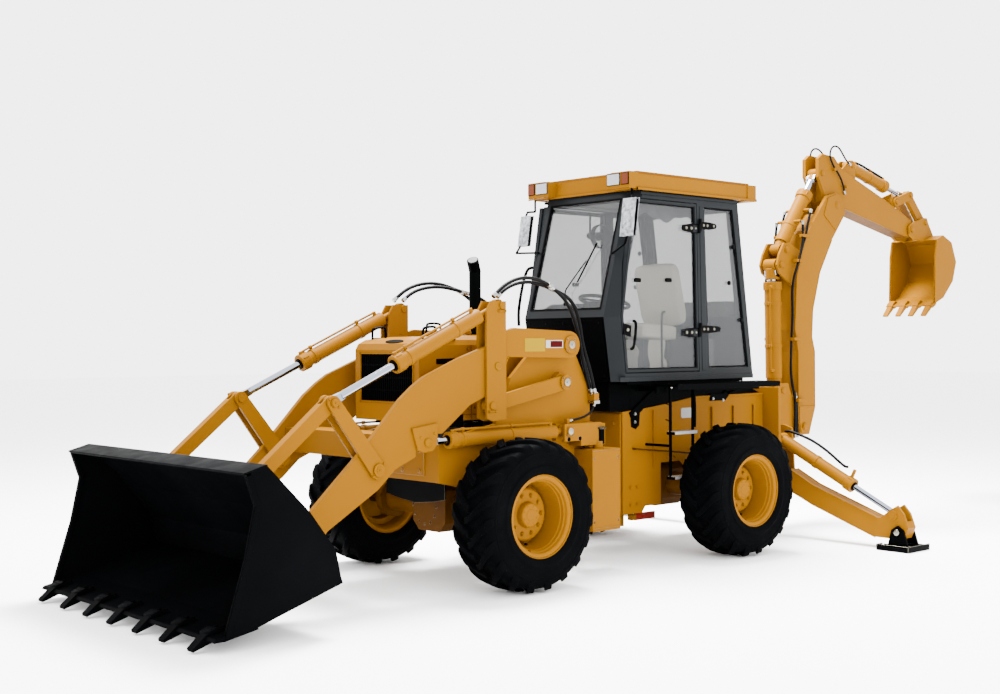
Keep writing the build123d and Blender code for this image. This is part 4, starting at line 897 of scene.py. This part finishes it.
# caps and pre-cleaner on the top
h.cyl((1640, 140, 1800), (1640, 140, 1846), 48, BLACK, seg=28, ease=4)
h.cyl((2250, 120, 1800), (2250, 120, 1832), 40, YELLOW, seg=28, ease=4)
for x in (1430, 1660, 1900, 2140, 2380, 2580):
    h.hexa((x, 250, 1803), (0, 0, 1), 8, 7, YELLOW, both=True)
# lamps low in the nose
for s in (1, -1):
    h.lathe((2600, s * 383, 1470), [(-2 * s, 44), (8 * s, 44), (12 * s, 38), (12 * s, 2), (-2 * s, 2)], YELLOW, seg=28)
h.done("front_chassis", "yellow_paint", bevel=1.0)

g = Build("front_frame_trim")
# keeper plates and fixings on the frame pins
for (px, pz), r in (((1630, 1720), 66), ((1680, 1440), 58)):
    g.cyl((px, 616, pz), (px, 624, pz), 30, STEEL, both=True, seg=36, ease=2)
    g.cyl((px, 622, pz), (px, 632, pz), 7, BRIGHT, both=True, seg=12)
    for k in range(4):
        t = math.pi / 4 + k * math.pi / 2
        g.hexa((px + (r - 12) * math.cos(t), 615, pz + (r - 12) * math.sin(t)), (0, 1, 0), 9, 8, YELLOW, both=True)
g.cyl((1680, 651, 1075), (1680, 659, 1075), 26, STEEL, both=True, seg=30, ease=2)
g.plate([(1650, 1042), (1712, 1042), (1712, 1052), (1650, 1052)], 640, 650, YELLOW, both=True)
for dx in (-22, 22):
    g.hexa((1680 + dx, 650, 1047), (0, 1, 0), 7, 6, YELLOW, both=True)
# stiffeners and weld lines on the cheek
g.plate([(1400, 700), (1420, 700), (1420, 1120), (1400, 1120)], 505, 545, YELLOW, both=True)
for x in (1960, 2110):
    g.box(x, x + 14, 505, 530, 700, 1120, YELLOW, both=True)
g.plate([(1545, 1775), (1640, 1797), (1800, 1785), (1795, 1770), (1640, 1782), (1552, 1760)], 505, 512, YELLOW, both=True)
for x, z in ((1688, 995), (1572, 997)):
    g.cyl((x, 634, z + 20), (x, 642, z + 20), 17, BLACK, both=True, seg=20)
# tank: straps, bolts, filler neck and cap
for z0, z1 in ((330, 334), (918, 922)):
    g.box(1202, 1498, 694, 704, z0, z1, YELLOW, both=True)
for x in (1215, 1478):
    for z in (380, 860):
        g.hexa((x, 699, z), (0, 1, 0), 11, 10, YELLOW, both=True)
g.cyl((1360, 620, 928), (1360, 620, 986), 40, YELLOW, both=True, seg=28)
g.cyl((1340, 625, 960), (1340, 625, 1080), 34, BLACK, both=False, seg=30, ease=4)
g.cyl((1340, 625, 1076), (1340, 625, 1094), 44, BLACK, both=False, seg=30, ease=5)
for k in range(8):
    t = k * math.pi / 4
    g.box(1340 + 43 * math.cos(t) - 5, 1340 + 43 * math.cos(t) + 5, 625 + 43 * math.sin(t) - 5, 625 + 43 * math.sin(t) + 5, 1079, 1090, BLACK)
# port block with valve fittings
for x, z in ((1283, 1309), (1326, 1350), (1349, 1380), (1340, 1353)):
    g.cyl((x, 540, z - 26), (x, 540, z - 2), 17, BRIGHT, both=True, seg=6)
g.box(1296, 1356, 512, 582, 1268, 1290, BRIGHT, both=True)
for x in (1310, 1340):
    for y in (525, 568):
        g.hexa((x, y, 1345), (0, 0, 1), 8, 7, YELLOW, both=True)
# propeller shafts, steering cylinders and differential cover
for x0, x1 in ((1180, 2180),):
    g.cyl((1340, 0, 640), (2180, 0, 560), 38, BLACK, seg=24)
for x in (2176, 2160):
    g.cyl((x - 8, 0, 560), (x + 8, 0, 559), 66, BLACK, seg=28, ease=2)
# The front axle bolts take the darker painted-shade yellow.
for k in range(12):
    t = 2 * math.pi * k / 12
    g.hexa((2365 + 190, 150 * math.cos(t) * 0.9, 537.5 + 150 * math.sin(t) * 0.9), (1, 0, 0), 9, 9, SHADED_YELLOW)
g.tube([(2365 - 120, 300, 640), (2365 - 120, 600, 640)], 12, BLACK, both=True)
g.cyl((2230, 300, 620), (2230, 560, 620), 30, YELLOW, both=True, seg=20)
g.box(2810, 2838, -350, 350, 800, 1020, YELLOW)
g.cross([(-345, 840), (345, 840), (345, 615), (220, 592), (0, 569), (-220, 592), (-345, 615)], 2636, 2646, BLACK)
for y in (-300, -100, 100, 300):
    for z in (835, 985):
        g.hexa((2836, y, z), (1, 0, 0), 15, 13, YELLOW)
# engine sides seen under the hood
for x in (1700, 1860, 2020, 2180):
    g.cyl((x, 272, 1060), (x, 312, 1060), 40, IRON, both=True, seg=20, ease=4)
g.box(1660, 2240, 270, 300, 1120, 1170, IRON, both=True)
g.cyl((2350, 300, 1060), (2350, 330, 1180), 46, BLACK, both=True, seg=24, ease=5)
g.done("front_chassis", "yellow_paint", bevel=0.8)

# ------------------------------------------------------------------ loader
a = Build("loader_arm_trim")
for s in (1,):
    # blank plates on the arm cheek near the frame pin
    a.plate([(1893, 1672), (2095, 1672), (2095, 1770), (1893, 1770)], 599.5, 602.5, LABEL_Y)
    a.plate([(1708, 1697), (1883, 1697), (1883, 1756), (1708, 1756)], 599.5, 602.5, LABEL_W)
    a.plate([(1716, 1703), (1838, 1703), (1838, 1750), (1716, 1750)], 602, 603.2, LABEL_R)
# pin bosses and grease nipples
for (px, pz), yo, r in (((2380, 1570), 632, 44), ((3440, 900), 640, 44), ((4030, 420), 640, 42), ((3020, 1060), 630, 30)):
    if (px, pz) == (2380, 1570):
        a.cyl((px, yo - 4, pz), (px, yo + 4, pz), 26, YELLOW, both=True, seg=32, ease=2)
    if (px, pz) == (3020, 1060):
        a.cyl((px, yo - 2, pz), (px, yo + 6, pz), 25, YELLOW, both=True, seg=32, ease=2)
for x, z in ((2960, 1120), (3080, 1100)):
    a.hexa((x, 619, z), (0, 1, 0), 8, 7, YELLOW, both=True)
# weld beads along the cross tube and edge stiffeners
a.plate([(2250, 1640), (2262, 1632), (2306, 1565), (2296, 1558)], 600, 606, YELLOW, both=True)
# torque tube between the arms
a.cyl((3285, -502, 1045), (3285, 502, 1045), 78, YELLOW, seg=40)
a.done("loader_arms_body", "yellow_paint", bevel=1.0)

lv = Build("lever_trim")
for px, pz in ((2340, 2005), (2435, 1290)):
    lv.cyl((px, 633, pz), (px, 641, pz), 27, YELLOW, both=True, seg=32, ease=2)
    lv.plate([(px - 40, pz - 46), (px + 40, pz - 46), (px + 40, pz - 34), (px - 40, pz - 34)], 626, 634, YELLOW, both=True)
    for dx in (-28, 28):
        lv.hexa((px + dx, 633, pz - 40), (0, 1, 0), 7, 6, YELLOW, both=True)
lv.box(2350, 2440, 534, 606, 1892, 1908, YELLOW, both=True)
lv.done("loader_levers_body", "yellow_paint", bevel=1.0)


def along3(p, q, d):
    n = math.hypot(q[0] - p[0], q[1] - p[1])
    return (p[0] + (q[0] - p[0]) * d / n, p[1] + (q[1] - p[1]) * d / n)


def cyl_trim(name, p, q, y, r, length, body, both=True, pipe=None, clamp=(), slot="yellow_paint", plane="y", pr=8.5, pm=None):
    """Gland, clamps and the supply pipe of a hydraulic cylinder."""
    t = Build(name)

    def at3(d, off=0.0, side=0.0):
        k = along3(p, q, d)
        n = math.hypot(q[0] - p[0], q[1] - p[1])
        ux, uz = (q[0] - p[0]) / n, (q[1] - p[1]) / n
        a_, b_ = k[0] - uz * off, k[1] + ux * off
        return (a_, y + side, b_) if plane == "y" else (-1200.0 + side, a_, b_)
    t.cyl(at3(length - 74), at3(length + 4), r + 10, YELLOW, both, seg=32, ease=4)
    t.cyl(at3(length + 3), at3(length + 12), r * 0.74, BLACK, both, seg=30, ease=2)
    for k in range(4):
        ang = k * math.pi / 2 + 0.6
        o, sd = math.cos(ang) * (r + 9), math.sin(ang) * (r + 9)
        t.cyl(at3(length - 60, o, sd), at3(length - 16, o, sd), 6, YELLOW, both, seg=8)
    for d in clamp:
        t.cyl(at3(d - 16), at3(d + 16), r + 5, YELLOW if d < 0 else YELLOW, both, seg=30, ease=2)
    if pipe:
        t.tube(curve_pts([at3(d, o, sd) for d, o, sd in pipe], 4), pr, pm or YELLOW, both, seg=10)
        for d, o, sd in (pipe[0], pipe[-1]):
            t.cyl(at3(d, o - 34 if o > 0 else o + 34, sd), at3(d, o + 8 if o > 0 else o - 8, sd), 15, YELLOW, both, seg=12)
        for d in clamp:
            t.cyl(at3(d - 12, pipe[1][1], pipe[1][2]), at3(d + 12, pipe[1][1], pipe[1][2]), 14, YELLOW, both, seg=12, ease=2)
    return t.done(body, slot)


cyl_trim("tilt_cylinder_trim", (2340, 2005), (3790, 1355), 570, 55, 1010, "tilt_barrels_body", clamp=(420, 880), pipe=((240, 72, 0), (330, 74, 0), (620, 74, 0), (900, 74, 0), (975, 72, 0)))
cyl_trim("lift_cylinder_trim", (1680, 1075), (3020, 1060), 580, 50, 1130, "lift_barrels_body", clamp=(540, 1000), pipe=((150, 66, 8), (240, 70, 8), (540, 70, 8), (1000, 70, 8), (1095, 66, 8)))
cyl_trim("boom_cylinder_trim", (-1665, 1275), (-1645, 2455), 0, 77, 1020, "boom_cylinder_barrel_body", both=False, clamp=(420, 820), pipe=((190, -92, 40), (300, -96, 40), (620, -96, 40), (880, -96, 40), (975, -92, 40)))
cyl_trim("dipper_cylinder_trim", (-1730, 2600), (-2325, 3370), 0, 68, 720, "dipper_cylinder_barrel_body", both=False, clamp=(300,))
cyl_trim("bucket_cylinder_trim", (-2880, 3495), (-3865, 3255), 0, 58, 680, "bucket_cylinder_barrel_body", both=False, clamp=(380,), pipe=((120, -76, 0), (220, -84, 0), (380, -82, 0), (560, -80, 0), (640, -76, 0)), pr=13, pm=HOSE)
for side, s in (("left", 1), ("right", -1)):
    cyl_trim("stabiliser_cylinder_trim_" + side, (s * 430, 865), (s * 1600, 285), 0, 54, 835, "stabiliser_barrel_%s_body" % side, both=False, clamp=(420,), plane="x")
    sh = Build("stabiliser_hose_trim_" + side)
    sh.tube(curve_pts([(-1200, s * 470, 930), (-1200, s * 543, 929), (-1200, s * 746, 867), (-1200, s * 912, 780), (-1200, s * 1075, 668), (-1200, s * 1125, 654)], 5), 12.5, HOSE, seg=12)
    sh.done("stabiliser_barrel_%s_body" % side, "hose_rubber")

for nm, p_, q_, r_, body in (("boom_rod_sleeve", (-1645, 2455), (-1665, 1275), 66, "boom_cylinder_rod_body"), ("dipper_rod_sleeve", (-2325, 3370), (-1730, 2600), 38, "dipper_cylinder_rod_body"),
                             ("bucket_rod_sleeve", (-3865, 3255), (-2880, 3495), 34, "bucket_cylinder_rod_body")):
    t = Build(nm)
    (xa, za), (xb, zb) = along3(p_, q_, 30), along3(p_, q_, {66: 132, 38: 96, 34: 92}[r_])
    t.cyl((xa, 0, za), (xb, 0, zb), r_, YELLOW, seg=32, ease=5)
    t.done(body, "yellow_paint")

bc = Build("bellcrank_trim")
for px, pz in ((3440, 900), (3790, 1355)):
    for k in (-1, 1):
        bc.hexa((px + k * 36, 626, pz + k * 26) if px > 3500 else (px - k * 44, 626, pz + k * 40), (0, 1, 0), 8, 7, YELLOW, both=True)
bc.done("bellcranks_body", "yellow_paint")
for nm, px, pz, body in (("bellcrank_pin_trim", 3440, 900, "bellcrank_pivot_pins_body"), ("bucket_hinge_pin_trim", 4030, 420, "bucket_hinge_pins_body"), ("bellcrank_top_pin_trim", 3790, 1355, "bellcrank_top_pins_body")):
    t = Build(nm)
    t.cyl((px, 639, pz), (px, 644, pz), 24, YELLOW, both=True, seg=30, ease=1.5)
    t.cyl((px, 643, pz), (px, 653, pz), 6, YELLOW, both=True, seg=10)
    t.done(body, "steel_pin")

# loader bucket: side cutters, tooth shanks, wear strips, back ribs
k = Build("loader_bucket_trim")
HW = 1161.0
side_out = [(4906, 85), (4730, 110), (4105, 305), (4120, 350), (4154, 508), (4337, 750), (4628, 1041), (4770, 1003), (4705, 813), (4770, 516)]
edge = [(4770, 1003), (4705, 813), (4770, 516), (4906, 85)]
inner_edge = [(4740, 1008), (4675, 815), (4740, 512), (4870, 92)]
for i in range(3):
    k.plate([edge[i], edge[i + 1], inner_edge[i + 1], inner_edge[i]], HW - 26, HW + 5, BUCKET, both=True)
k.plate([(4628, 1041), (4770, 1003), (4764, 985), (4630, 1022)], HW - 26, HW + 5, BUCKET, both=True)
k.plate([(4622, 1046), (4634, 1046), (4780, 1006), (4776, 994), (4630, 1030)], -HW, HW, BUCKET)
for i in range(7):
    y = -1015 + i * 2030 / 6
    k.plate([(4800, 112), (4905, 136), (4960, 112), (4960, 96), (4905, 108), (4800, 98)], y - 46, y + 46, BUCKET)
    k.plate([(4800, 86), (4900, 60), (4940, 56), (4940, 72), (4900, 76), (4800, 100)], y - 40, y + 40, BUCKET)
    for dx in (4838, 4882):
        k.hexa((dx, y, 122 + (dx - 4838) * 0.2), (0.1, 0, 1), 13, 10, BUCKET)
for y in (-700, -230, 230, 700):
    k.plate([(4100, 300), (4125, 520), (4320, 770), (4620, 1046), (4635, 1030), (4345, 748), (4160, 505), (4112, 305)], y - 8, y + 8, BUCKET)
for p, q in (((4160, 520), (4330, 745)),):
    k.prism([P(p[0] - 10, -900, p[1] + 6), P(p[0], -900, p[1]), P(q[0], -900, q[1]), P(q[0] - 10, -900, q[1] + 6)],
            [P(p[0] - 10, 900, p[1] + 6), P(p[0], 900, p[1]), P(q[0], 900, q[1]), P(q[0] - 10, 900, q[1] + 6)], BUCKET)
for px, pz in ((4380, 875),):
    k.cyl((px, 633, pz), (px, 640, pz), 24, BUCKET, both=True, seg=28, ease=1.5)
k.done("loader_bucket_body", "bucket_paint", bevel=1.5)


# ------------------------------------------------------------------ rear frame, ladders, fittings
r = Build("rear_frame_trim")
# pivot pins, hinge lugs and the locking bar
for z in (430, 1010):
    r.cyl((1130, 0, z - 8), (1130, 0, z), 62, YELLOW, seg=32, ease=2)
r.plan([(780, -150), (780, 150), (900, 120), (900, -120)], 700, 720, YELLOW)
r.box(256, 503, 196, 212, 262, 321, RED)
r.box(503, 560, 180, 226, 268, 315, YELLOW)
for z in (275, 308):
    r.cyl((520, 212, z), (520, 232, z), 8, YELLOW, seg=10)
r.plate([(528, 330), (770, 330), (770, 459), (640, 459), (528, 400)], 85, 99, YELLOW)
r.plate([(528, 208), (650, 208), (650, 459), (528, 459)], 99, 110, YELLOW)
r.cyl((590, 108, 260), (590, 118, 260), 26, YELLOW, seg=24, ease=2)
# weld-on strips, bolts and a pale plate on the side plate
for x in (620, 700):
    for z in (420, 560):
        r.hexa((x, 343, z), (0, 1, 0), 13, 12, YELLOW, both=True)
for x in (-250, -150, 150, 250):
    r.hexa((x, 343, 780), (0, 1, 0), 14, 13, YELLOW, both=True)
r.plate([(-94, 1096), (74, 1096), (74, 1182), (-94, 1182)], 343, 346, WHITEPANEL)
for x in (-88, 68):
    for z in (1102, 1176):
        r.cyl((x, 345, z), (x, 348, z), 4, YELLOW, seg=8)
r.plate([(-1040, 1262), (-140, 1262), (300, 1206), (560, 1178), (560, 1192), (305, 1220), (-140, 1277), (-1040, 1277)], 343, 352, YELLOW, both=True)
for x in (-900, -620, -330, 420):
    r.plate([(x, 700 if -700 < x else 520), (x + 14, 700 if -700 < x else 520), (x + 14, 1178), (x, 1178)], 343, 362, YELLOW, both=True)
# axle bolts, cover and brake drums
# The rear axle bolts take the darker painted-shade yellow.
for k2 in range(12):
    t = 2 * math.pi * k2 / 12
    r.hexa((-190, 135 * math.cos(t), 537.5 + 135 * math.sin(t)), (-1, 0, 0), 9, 9, SHADED_YELLOW)
r.cyl((190, 0, 560), (760, 0, 600), 38, BLACK, seg=24)
r.cyl((186, 0, 558), (206, 0, 562), 66, BLACK, seg=28, ease=2)
# rear plate: bolts and tail lamps
for z in (520, 700, 900, 1100, 1260):
    r.hexa((-1066, 480, z), (-1, 0, 0), 13, 12, YELLOW, both=True)
for y in (400, -400):
    r.box(-1082, -1066, y - 45, y + 45, 1200, 1290, PLASTIC)
    r.box(-1088, -1081, y - 38, y - 2, 1208, 1282, RED)
    r.box(-1088, -1081, y + 2, y + 38, 1208, 1282, AMBER)
# stabiliser pin heads
for y, z in ((430, 520), (430, 865)):
    for x, s2 in ((-1084, 1), (-1319, -1)):
        r.cyl((x, y, z), (x + 5 * s2, y, z), 22, YELLOW, both=True, seg=26, ease=1.5)
# ladders: grip strips, brackets and guard
for z in (1012, 652):
    r.box(232, 514, 584, 648, z, z + 4, GRIP, both=True)
    r.box(236, 510, 655.5, 659, z - 20, z + 3, GRIP, both=True)
    for x in range(240, 512, 22):
        r.box(x, x + 8, 586, 646, z + 3, z + 7, GRIP, both=True)
for x in (510, 235):
    r.tube([(x, 608, 1385), (x, 590, 1398)], 10, BLACK, both=True)
for x in (510, 235):
    r.cyl((x, 612, 1374), (x, 626, 1374), 12, BRIGHT, both=True, seg=16, ease=2)
for z in (1100, 1230):
    r.cyl((510, 600, z), (510, 560, z + 10), 6, BLACK, both=True, seg=8)
r.tube(curve_pts([(232, 617, 1350), (226, 625, 1200), (226, 622, 1040)], 4), 11, BLACK, both=True, seg=12)
# pipe held along the frame
r.tube(curve_pts([(669, 345, 873), (640, 400, 868), (300, 402, 834), (25, 400, 804), (0, 345, 800)], 4), 8, BLACK, seg=8)
# box guard ahead of the wheel
r.box(795, 806, -330, 330, 360, 1160, YELLOW)
for y in (-260, 260):
    for z in (450, 750, 1080):
        r.hexa((806, y, z), (1, 0, 0), 13, 12, YELLOW)
r.done("rear_chassis", "yellow_paint", bevel=0.8)

# ------------------------------------------------------------------ backhoe
w = Build("swing_frame_trim")
for (px, pz), yo in (((-1950, 930), 150), ((-1665, 1275), 112)):
    w.cyl((px, yo - 2, pz), (px, yo + 5, pz), 28, YELLOW, both=True, seg=28, ease=1.5)
for z in (760, 1120):
    for x in (-1530, -1480):
        w.hexa((x, 107, z), (0, 1, 0), 11, 10, YELLOW, both=True)
w.cyl((-1420, 0, 1300), (-1420, 0, 1306), 60, YELLOW, seg=30)
w.cyl((-1420, 0, 1298), (-1420, 0, 1322), 20, YELLOW, seg=20, ease=2)
w.plate([(-1560, 790), (-1600, 1100), (-1640, 1100), (-1700, 790)], 107, 113, YELLOW, both=True)
w.done("swing_frame_body", "yellow_paint", bevel=0.8)

bm_ = Build("boom_trim")
for (px, pz), yo in (((-1645, 2455), 118), ((-1730, 2600), 118)):
    bm_.cyl((px, yo - 2, pz), (px, yo + 5, pz), 26, YELLOW, both=True, seg=28, ease=1.5)
    for dx in (-34, 34):
        bm_.hexa((px + dx, 106, pz - 18), (0, 1, 0), 7, 6, YELLOW, both=True)
# doubler plates, edge welds and hose clamps on the cheek
bm_.plate([(-1905, 870), (-1880, 1000), (-1880, 1120), (-2125, 1120), (-2125, 1090), (-2036, 870)], 130, 137, YELLOW, both=True)
bm_.plate([(-2290, 2960), (-2360, 3130), (-2500, 3172), (-2600, 3116), (-2628, 3000), (-2480, 2820)], 130, 137, YELLOW, both=True)
for pts in ([(-1872, 1000), (-1872, 1640), (-1824, 1850), (-1857, 2365), (-2022, 2768), (-2350, 3148)], [(-2133, 1100), (-2133, 1640), (-2088, 1780), (-2106, 2040), (-2223, 2403), (-2423, 2720)]):
    bm_.tube([(x, 129, z) for x, z in pts], 5, YELLOW, both=True, seg=8)
for x, z, mt in ((-1845, 2500, YELLOW), (-1800, 1760, YELLOW), (-1862, 1180, YELLOW), (-1950, 2740, YELLOW)):
    bm_.box(x - 62, x + 50, 128, 176, z - 14, z + 14, mt, both=True) if mt is YELLOW else bm_.box(x - 40, x + 40, 128, 150, z - 12, z + 12, mt, both=True)
bm_.done("boom_body", "yellow_paint", bevel=0.8)

dp = Build("dipper_trim")
for (px, pz), yo in (((-2510, 3070), 140), ((-3870, 2900), 135), ((-3600, 3170), 125), ((-2325, 3370), 98), ((-2880, 3495), 70)):
    dp.cyl((px, yo - 2, pz), (px, yo + 5, pz), 24, YELLOW, both=True, seg=28, ease=1.5)
for pts in ([(-2262, 3335), (-2262, 3508), (-2330, 3556), (-2518, 3542), (-2640, 3437), (-2900, 3347), (-3400, 3182), (-3700, 3072), (-3890, 2997)], [(-2590, 2988), (-2700, 3048), (-3780, 2833)]):
    dp.tube([(x, 91, z) for x, z in pts], 4.5, YELLOW, both=True, seg=8)
dp.plate([(-2420, 3100), (-2450, 3010), (-2580, 3000), (-2640, 3050), (-2600, 3140), (-2480, 3170)], 92, 98, YELLOW, both=True)
for x, z in ((-2700, 3262), (-2500, 3420)):
    dp.box(x - 16, x + 16, 91, 126, z - 14, z + 14, YELLOW, both=True)
dp.done("dipper_body", "yellow_paint", bevel=0.6)

hb = Build("backhoe_bucket_trim")
W = 273.0
HO = [(-4060, 2125), (-4230, 2190), (-4420, 2370), (-4491, 2576), (-4400, 2780), (-4230, 2850), (-4110, 2800), (-4075, 2620)]
for y0, y1 in ((W - 17.5, W + 5),):
    for p0, p1, q1, q0 in (((-4060, 2125), (-4075, 2620), (-4108, 2620), (-4094, 2140)), ((-4075, 2620), (-4110, 2800), (-4144, 2796), (-4108, 2620))):
        hb.plate([p0, p1, q1, q0], y0, y1, YELLOW, both=True)
for i in range(4):
    y = -225 + i * 150
    hb.plate([(-4100, 2150), (-4050, 2165), (-4000, 2130), (-3990, 2108), (-4040, 2080), (-4100, 2110)], y - 36, y + 36, YELLOW)
    hb.cyl((-4048, y - 40, 2128), (-4048, y + 40, 2128), 9, YELLOW, seg=12)
for y in (-150, 0, 150):
    hb.plate([(-4232, 2182), (-4428, 2365), (-4500, 2577), (-4406, 2788), (-4395, 2776), (-4482, 2575), (-4414, 2372), (-4228, 2194)], y - 9, y + 9, YELLOW)
for (px, pz) in ((-4135, 2985),):
    hb.cyl((px, 133, pz), (px, 140, pz), 22, YELLOW, both=True, seg=26, ease=1.5)
hb.done("backhoe_bucket_body", "yellow_paint", bevel=1.0)

tl = Build("link_trim")
tl.cyl((-3865, 123, 3255), (-3865, 129, 3255), 20, YELLOW, both=True, seg=24, ease=1.5)
tl.done("guide_links_body", "steel_pin")

# ------------------------------------------------------------------ stabilisers
for side, s in (("left", 1), ("right", -1)):
    lg = Build("stabiliser_leg_trim_" + side)
    Y = lambda y: s * y
    ridge = [(560, 603), (800, 481), (1440, 258)]
    for x in (-1262, -1138):
        lg.tube([(x, Y(y), z) for y, z in ridge], 5, YELLOW, seg=8)
        lg.tube([(x, Y(y), z) for y, z in [(540, 423), (800, 308), (1430, 88)]], 5, YELLOW, seg=8)
    for y, z in ((1600, 285), (1655, 150)):
        for x, d in ((-1127, 1), (-1273, -1)):
            lg.cyl((x, Y(y), z), (x + 6 * d, Y(y), z), 24, YELLOW, seg=26, ease=1.5)
    lg.done("stabiliser_leg_%s_body" % side, "yellow_paint")
    pd = Build("stabiliser_pad_trim_" + side)
    for x in (-1103, -1297):
        d = 1 if x > -1200 else -1
        pd.cyl((x, Y(1655), 150), (x + 6 * d, Y(1655), 150), 25, STEEL, seg=28, ease=2)
        pd.cyl((x + 5 * d, Y(1655), 150), (x + 9 * d, Y(1655), 150), 10, BRIGHT, seg=14)
    for x in (-1330, -1270, -1130, -1070):
        a_, b_ = sorted((Y(1520), Y(1790)))
        pd.box(x - 6, x + 6, a_, b_, 30, 46, BLACK)
    a_, b_ = sorted((Y(1505), Y(1515)))
    for x0, x1 in ((-1365, -1280), (-1120, -1035)):
        pd.box(x0, x1, a_, b_, 4, 52, BLACK)
    a_, b_ = sorted((Y(1795), Y(1805)))
    pd.box(-1365, -1035, a_, b_, 4, 52, BLACK)
    pd.done("stabiliser_pad_%s_body" % side, "black_paint", bevel=1.2)

# held pipes on the outside of the frame, down to each stabiliser cylinder
sp_ = Build("stabiliser_supply")
for s in (1, -1):
    sp_.tube(curve_pts([(-1070, s * 300, 1010), (-1120, s * 330, 1006), (-1150, s * 366, 1000)], 5), 10, HOSE, seg=10)
sp_.done("rear_chassis", "hose_rubber")


# ------------------------------------------------------------------ floor and light
def area(name, loc, target, size, power, color=(1, 1, 1), size_y=None):
    d = bpy.data.lights.new(name, "AREA")
    d.energy = power
    d.color = color
    d.shape = "RECTANGLE"
    d.size, d.size_y = size, size_y or size
    o = bpy.data.objects.new(name, d)
    bpy.context.scene.collection.objects.link(o)
    o.location = loc
    o.rotation_euler = (Vector(target) - Vector(loc)).to_track_quat("-Z", "Y").to_euler()
    return o


floor_me = bpy.data.meshes.new("floor")
floor_me.from_pydata([(-60, -60, 0), (60, -60, 0), (60, 60, 0), (-60, 60, 0)], [], [(0, 1, 2, 3)])
floor_ob = bpy.data.objects.new("floor", floor_me)
bpy.context.scene.collection.objects.link(floor_ob)
fm, fnt, fb = new_material("pale_floor")
fb.inputs["Base Color"].default_value = (0.93, 0.93, 0.93, 1)
fb.inputs["Roughness"].default_value = 0.9
fb.inputs["Specular IOR Level"].default_value = 0.05
floor_me.materials.append(fm)

world = bpy.data.worlds.new("studio")
bpy.context.scene.world = world
world.use_nodes = True
bg = world.node_tree.nodes["Background"]
bg.inputs["Color"].default_value = (1.0, 1.0, 1.0, 1)
bg.inputs["Strength"].default_value = 4.9
area("key_top", (-0.8, -1.6, 9.0), (0.6, 0.2, 0.0), 3.6, 8500, size_y=3.6)
area("key_left", (3.5, 11.0, 5.0), (0.5, 0, 1.5), 5.0, 700)
area("fill_front", (12.0, -1.0, 4.0), (1.0, 0, 1.2), 5.0, 200)
